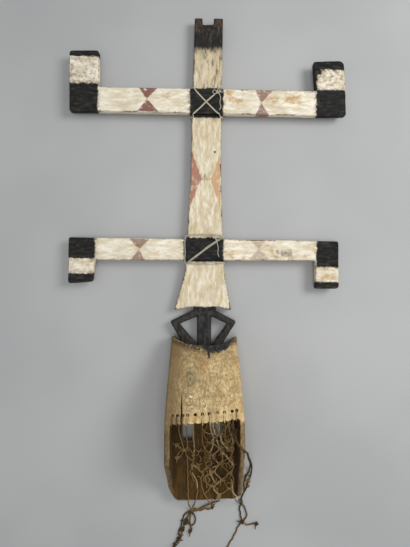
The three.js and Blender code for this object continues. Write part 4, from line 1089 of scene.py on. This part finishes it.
def finishMask():
    finish, shader = newFinish("weatheredMaskWood", 0.3)
    place = placeInMillimetres()
    ragged = raggedPlace(place, 9.0, 11.0)
    x, y, z = axesOf(place)
    raggedX, raggedY, _ = axesOf(ragged)
    worn, sunk, inner = mark("worn"), mark("sunk"), mark("inner")
    head, height = headColour(place, inner, worn, sunk)

    # black paint: the figure, and the spill over the crescent onto the head
    ear = times(above(absolute(x), 69.0), below(y, 394.0))
    figure = times(below(z, maskZones["figureZ"]), above(y, 352.0))
    figure = times(figure, minus(1.0, ear))
    edge = maskZones["figureLow"]
    for start, end, change in maskZones["spill"]:
        edge = plus(ramp(x, start, end, 0.0, change), edge)
    ripple = spots(place, (3.6, 13, 3.6), 5, 0.78, 30)
    overEdge = minus(timesPlus(ripple, 26.0, y), plus(edge, 13.0))
    spill = times(ramp(overEdge, -2.4, 2.0), ramp(x, maskZones["spillLeft"] - 2.0, maskZones["spillLeft"] + 2.0))
    black = most(figure, spill)
    for edges in maskZones["drips"]:
        black = most(black, maskOf(paintPatch, ragged, *edges, 2.5))
    soot = mottled(paints["black"], place, (7, 14, 7), 5, 0.66, 31, 0.42, 0.68, 1.0, rgb(58, 59, 56))
    soot = blend(times(worn, 0.5), soot, rgb(96, 82, 66))
    colour = blend(black, head, soot)

    # white mast with red ochre triangles; the black reaches up over its neck
    inNeck = ramp(absolute(x), maskZones["neckHalf"] - 1.0, maskZones["neckHalf"] + 1.0, 1.0, 0.0)
    mastEdge = timesPlus(inNeck, maskZones["neckHigh"] - maskZones["mastLow"], maskZones["mastLow"])
    mast = ramp(minus(raggedY, mastEdge), -1.5, 1.5)
    white = kaolinColour(place, sunk, 0.7)
    white = blend(0.25, white, rgb(192, 172, 130))
    # towards the top it is yellower and smeared with soot; along its left edge it is darker brown, which is painted
    # shade
    white = blend(ramp(raggedY, 960.0, 1060.0, 0.0, 0.6), white, rgb(190, 172, 134))
    smear = ramp(spots(place, (8, 30, 8), 5, 0.7, 38), 0.46, 0.66)
    sootTop = times(smear, ramp(y, 900.0, 1045.0, 0.0, 1.0))
    nearChar = ramp(timesPlus(smear, 24.0, y), 1050.0, 1080.0, 0.0, 0.85)
    sootTop = most(sootTop, nearChar)
    white = blend(sootTop, white, rgb(112, 102, 84))
    leftEdge = ramp(y, 640.0, 1141.0, -43.0, -24.0)
    leftEdgeShade = ramp(minus(raggedX, leftEdge), 3.5, -1.5)
    aboveFoot = ramp(y, 600.0, 650.0)
    white = blend(times(times(leftEdgeShade, aboveFoot), 0.7), white, rgb(104, 82, 56))
    turned = join(raggedY, raggedX)
    leftRed = maskOf(paintHourglass, turned, *maskZones["leftRed"])
    rightRed = maskOf(paintHourglass, turned, *maskZones["rightRed"])
    patchy = ramp(spots(place, (9, 16, 9), 5, 0.65, 32), 0.3, 0.5, 0.25, 0.95)
    white = blend(times(leftRed, patchy), white, rgb(162, 112, 92))
    white = blend(times(rightRed, patchy), white, rgb(192, 152, 112))
    tip = maskOf(paintPatch, ragged, *maskZones["redTip"], 10.0)
    white = blend(times(tip, smear), white, rgb(92, 84, 76))
    # brown shows along the mast's sides and where the paint has gone
    loss = maskOf(paintLoss, place, worn, 0.01)
    sideFace = ramp(z, 22.0, 14.0)
    loss = most(loss, times(sideFace, 0.7))
    timber, _ = bareWood(place, rgb(68, 51, 36), rgb(104, 80, 58), rgb(142, 114, 82))
    white = blend(loss, white, timber)
    strokes = minus(spots(place, (4, 50, 4), 4, 0.7, 40), 0.5)
    charY = timesPlus(strokes, 26.0, raggedY)
    char = ramp(charY, maskZones["charLow"] - 7.0, maskZones["charLow"] + 5.0)
    rust = ramp(spots(place, (10, 14, 10), 5, 0.65, 33), 0.4, 0.62)
    brownTop = times(ramp(raggedY, 1098.0, 1110.0, 0.25, 1.0), rust)
    charColour = blend(brownTop, paints["black"], rgb(70, 55, 44))
    charColour = mottled(charColour, place, (4, 26, 4), 5, 0.66, 34, 0.52, 0.7, 0.6, rgb(98, 90, 72))
    white = blend(char, white, charColour)
    # crossing squares are black on the mast too
    for low, high in maskZones["crossings"]:
        halo = maskOf(paintPatch, ragged, -60.0, 60.0, low - 5.0, high + 7.0, 12.0)
        white = blend(times(halo, smear), white, rgb(84, 74, 58))
        patch = maskOf(paintPatch, ragged, -60.0, 60.0, low, high, 3.0)
        white = blend(patch, white, paints["black"])
    colour = blend(mast, colour, white)
    nail = maskOf(paintPatch, place, *[middle + way for middle in maskZones["nail"] for way in (-2.2, 2.2)], 1.5)
    # painted shade: the walls of the cord holes and of the crack are painted near black; the nail is dark too
    colour = blend(most(nail, mark("holeAndCrackShade")), colour, rgb(24, 18, 12))
    link(colour, shader["Base Color"])
    fine = spots(place, (1.2, 9, 1.2), 4, 0.65, 35)
    relief = timesPlus(height, 0.7, times(fine, 0.3))
    link(bump(relief, 0.55, 0.0012), shader["Normal"])
    rough = ramp(spots(place, (14, 30, 14), 3, 0.5, 36), 0.3, 0.7, 0.72, 0.95)
    link(rough, shader["Roughness"])
    return finish


# Painted patterns of the bars in millimetres, each bar turned level about its middle first: black patches by their
# left, right, low and high edges, hourglasses by their point, reach up and down, left and right corners above and
# then below, and strength, and stains by their edges and colour
upperPaint = {
    "turn": -1.25, "middle": (3.0, 941.0), "stainAmount": 0.45,
    "black": [(-35.5, 43.0, 880, 985), (-340, -200, 1040, 1100), (-340, -252, 900, 977),
              (262, 340, 880, 973), (240, 340, 1020, 1100), (240, 272, 1008, 1100), (240, 263, 970, 1100)],
    "red": [(-137.0, 942.5, 29.0, -158.0, -110.0, -159.0, -109.0, 1.0),
            (132.0, 939.0, 32.0, 117.0, 163.0, 118.0, 154.0, 0.85)],
    "stains": [(44, 68, 948, 972, "yellow"), (44, 94, 934, 952, "yellow"), (140, 176, 934, 954, "yellow"),
               (182, 228, 936, 964, "yellow"), (-108, -80, 944, 960, "tanOchre")],
}
lowerPaint = {
    "turn": -0.56, "middle": (-3.0, 591.0), "stainAmount": 0.7,
    "black": [(-50.5, 43.5, 540, 640), (-340, -259, 568, 640), (-340, -240, 490, 533), (262, 340, 553, 640),
              (240, 340, 480, 518)],
    "red": [(-155.0, 590.5, 25.0, -179.0, -131.0, -176.0, -142.0, 0.8),
            (127.0, 594.0, 25.0, 99.0, 147.0, 103.0, 152.0, 0.45)],
    "stains": [(44, 72, 574, 588, "yellow"), (62, 96, 566, 576, "tanOchre"), (148, 168, 572, 600, "tanOchre"),
               (164, 208, 574, 592, "smear"), (198, 240, 572, 582, "tanOchre"), (268, 306, 520, 538, "yellow")],
}


def finishBar(name, paint):
    finish, shader = newFinish(name, 0.25)
    place = placeInMillimetres()
    # grain runs along the bar, so X and Y change places for it
    x, y, z = axesOf(place)
    alongBar = join(y, x, z)
    inputs = {"Vector": place, "Center": (*paint["middle"], 0.0), "Angle": math.radians(-paint["turn"])}
    level = addNode("VectorRotate", inputs, rotation_type="Z_AXIS").outputs[0]
    ragged = raggedPlace(level, 11.0, 8.0)
    nearlyStraight = raggedPlace(level, 5.0, 9.0)
    worn, sunk = mark("worn"), mark("sunk")
    colour = kaolinColour(alongBar, sunk, paint["stainAmount"])
    colour = blend(0.22, colour, paints["chalk"])
    bladeDirt = ramp(spots(place, (9, 9, 9), 5, 0.74, 45), 0.46, 0.64)
    onBlade = ramp(absolute(x), 252.0, 262.0)
    onBlade = times(onBlade, ramp(y, 560.0, 960.0, 0.4, 0.85))
    colour = blend(times(bladeDirt, onBlade), colour, rgb(134, 118, 96))
    patchy = ramp(spots(alongBar, (8, 12, 8), 5, 0.65, 41), 0.3, 0.5, 0.2, 0.95)
    blots = spots(alongBar, (6, 13, 6), 5, 0.7, 57)
    for *edges, tone in paint["stains"]:
        patch = maskOf(paintPatch, ragged, *edges, 22.0)
        cover = timesPlus(minus(patch, 1.0), 0.45, blots)
        colour = blend(ramp(cover, 0.24, 0.56, 0.0, 0.85), colour, paints[tone])
    for *corners, strength in paint["red"]:
        red = maskOf(paintHourglass, nearlyStraight, *corners, 3.0)
        colour = blend(times(times(red, patchy), strength), colour, paints["redOchre"])
    soot = mottled(paints["black"], alongBar, (6, 20, 6), 5, 0.66, 42, 0.45, 0.7, 1.0, rgb(58, 54, 46))
    # brown smudges where the black meets the white
    smudges = ramp(spots(alongBar, (8, 12, 8), 5, 0.72, 46), 0.44, 0.66, 0.0, 0.8)
    for left, right, low, high in paint["black"]:
        halo = maskOf(paintPatch, ragged, left - 5.0, right + 5.0, low - 5.0, high + 5.0, 9.0)
        colour = blend(times(halo, smudges), colour, rgb(104, 82, 58))
    black = 0.0
    for edges in paint["black"]:
        black = most(maskOf(paintPatch, ragged, *edges, 3.2), black)
    colour = blend(black, colour, soot)
    timber, height = bareWood(alongBar, rgb(76, 58, 42), rgb(118, 92, 66), rgb(150, 122, 90))
    loss = maskOf(paintLoss, alongBar, worn, -0.01)
    loss = times(loss, timesPlus(black, -0.85, 1.0))
    colour = blend(loss, colour, timber)
    link(colour, shader["Base Color"])
    fine = spots(alongBar, (1.2, 9, 1.2), 4, 0.65, 43)
    relief = timesPlus(height, 0.6, times(fine, 0.4))
    relief = minus(relief, times(loss, 0.35))
    link(bump(relief, 0.6, 0.0012), shader["Normal"])
    rough = ramp(spots(alongBar, (14, 30, 14), 3, 0.5, 44), 0.3, 0.7, 0.78, 0.97)
    link(rough, shader["Roughness"])
    return finish


# String and cord: "thread" gives the way along, the way round and the tone, and "groove" the furrow between plies
def finishTwine(name, dark, middle, pale, furrowShade):
    finish, shader = newFinish(name, 0.2)
    place = placeInMillimetres()
    thread = addNode("Attribute", {}, attribute_name="thread").outputs["Vector"]
    along, around, tone = axesOf(thread)
    groove = mark("groove")
    colour = blend(ramp(tone, 0.0, 0.5), dark, middle)
    colour = blend(ramp(tone, 0.5, 1.0), colour, pale)
    strandPlace = join(times(around, 9.0), times(along, 1000.0), tone)
    hairs = spots(strandPlace, (0.35, 3.0, 1.0), 3, 0.6, 51)
    mottle = spots(place, (9, 9, 9), 4, 0.6, 52)
    colour = blend(ramp(hairs, 0.55, 0.75, 0.0, 0.5), colour, dark)
    colour = blend(ramp(mottle, 0.5, 0.75, 0.0, 0.55), colour, middle)
    # painted shade: the furrow between the plies is darkened
    colour = blend(times(ramp(groove, 0.35, 1.0), furrowShade), colour, dark)
    link(colour, shader["Base Color"])
    link(bump(hairs, 0.5, 0.0004), shader["Normal"])
    link(ramp(mottle, 0.3, 0.7, 0.82, 0.98), shader["Roughness"])
    return finish


def dress(pieces, finish):
    for piece in pieces:
        piece.data.materials.clear()
        piece.data.materials.append(finish)


dress([mask], finishMask())
dress([upperBar], finishBar("paintedUpperBar", upperPaint))
dress([lowerBar], finishBar("paintedLowerBar", lowerPaint))
dress(lashingPieces, finishTwine("paleString", rgb(104, 94, 74), rgb(176, 167, 144), rgb(206, 198, 178), 0.6))
dress(hoodPieces, finishTwine("plantFibre", rgb(44, 31, 17), rgb(138, 110, 68), rgb(222, 200, 152), 0.75))
print("finishes are on")


# Floor, light and picture settings
studio = {"floorTone": rgb(172, 173, 171), "floorCloud": rgb(165, 166, 165), "floorSize": 8.0, "sky": 0.42,
          "keyPower": 26.0, "keySize": 0.9, "keyPlace": (1.35, 1.15, 1.55),
          "fillPower": 3.0, "fillSize": 2.0, "fillPlace": (-1.2, 0.6, 1.8),
          "overPower": 11.0, "overSize": 0.7, "overPlace": (0.02, 0.30, 1.9)}


def makeFloor():
    half = studio["floorSize"] / 2
    mesh = bpy.data.meshes.new("floor")
    corners = [(-half, -half, -0.0004), (half, -half, -0.0004), (half, half, -0.0004), (-half, half, -0.0004)]
    mesh.from_pydata(corners, [], [(0, 1, 2, 3)])
    floor = newPiece("floor", mesh)
    finish, shader = newFinish("paleFloor", rough=0.9)
    place = placeInMillimetres()
    clouds = ramp(spots(place, (300, 300, 300), 2, 0.5, 61), 0.3, 0.7)
    tone = blend(clouds, studio["floorTone"], studio["floorCloud"])
    link(tone, shader["Base Color"])
    mesh.materials.append(finish)


def makeLight(name, power, size, place):
    light = bpy.data.lights.new(name, "AREA")
    light.energy = power
    light.size = size
    lamp = newPiece(name, light)
    lamp.location = chin + np.array(place)
    aim = np.array([0.0, 0.55, 0.0]) - np.array(place)
    lamp.rotation_euler = (math.atan2(math.hypot(aim[0], aim[1]), -aim[2]), 0, math.atan2(aim[0], -aim[1]) + math.pi)


makeFloor()
for name in ("key", "fill", "over"):
    makeLight(name + "Light", studio[name + "Power"], studio[name + "Size"], studio[name + "Place"])
world = bpy.data.worlds.new("softSky")
world.use_nodes = True
world.node_tree.nodes["Background"].inputs["Color"].default_value = (0.93, 0.95, 1.0, 1.0)
world.node_tree.nodes["Background"].inputs["Strength"].default_value = studio["sky"]
bpy.context.scene.world = world
bpy.context.scene.view_settings.view_transform = "Standard"
print("floor and lights are set")
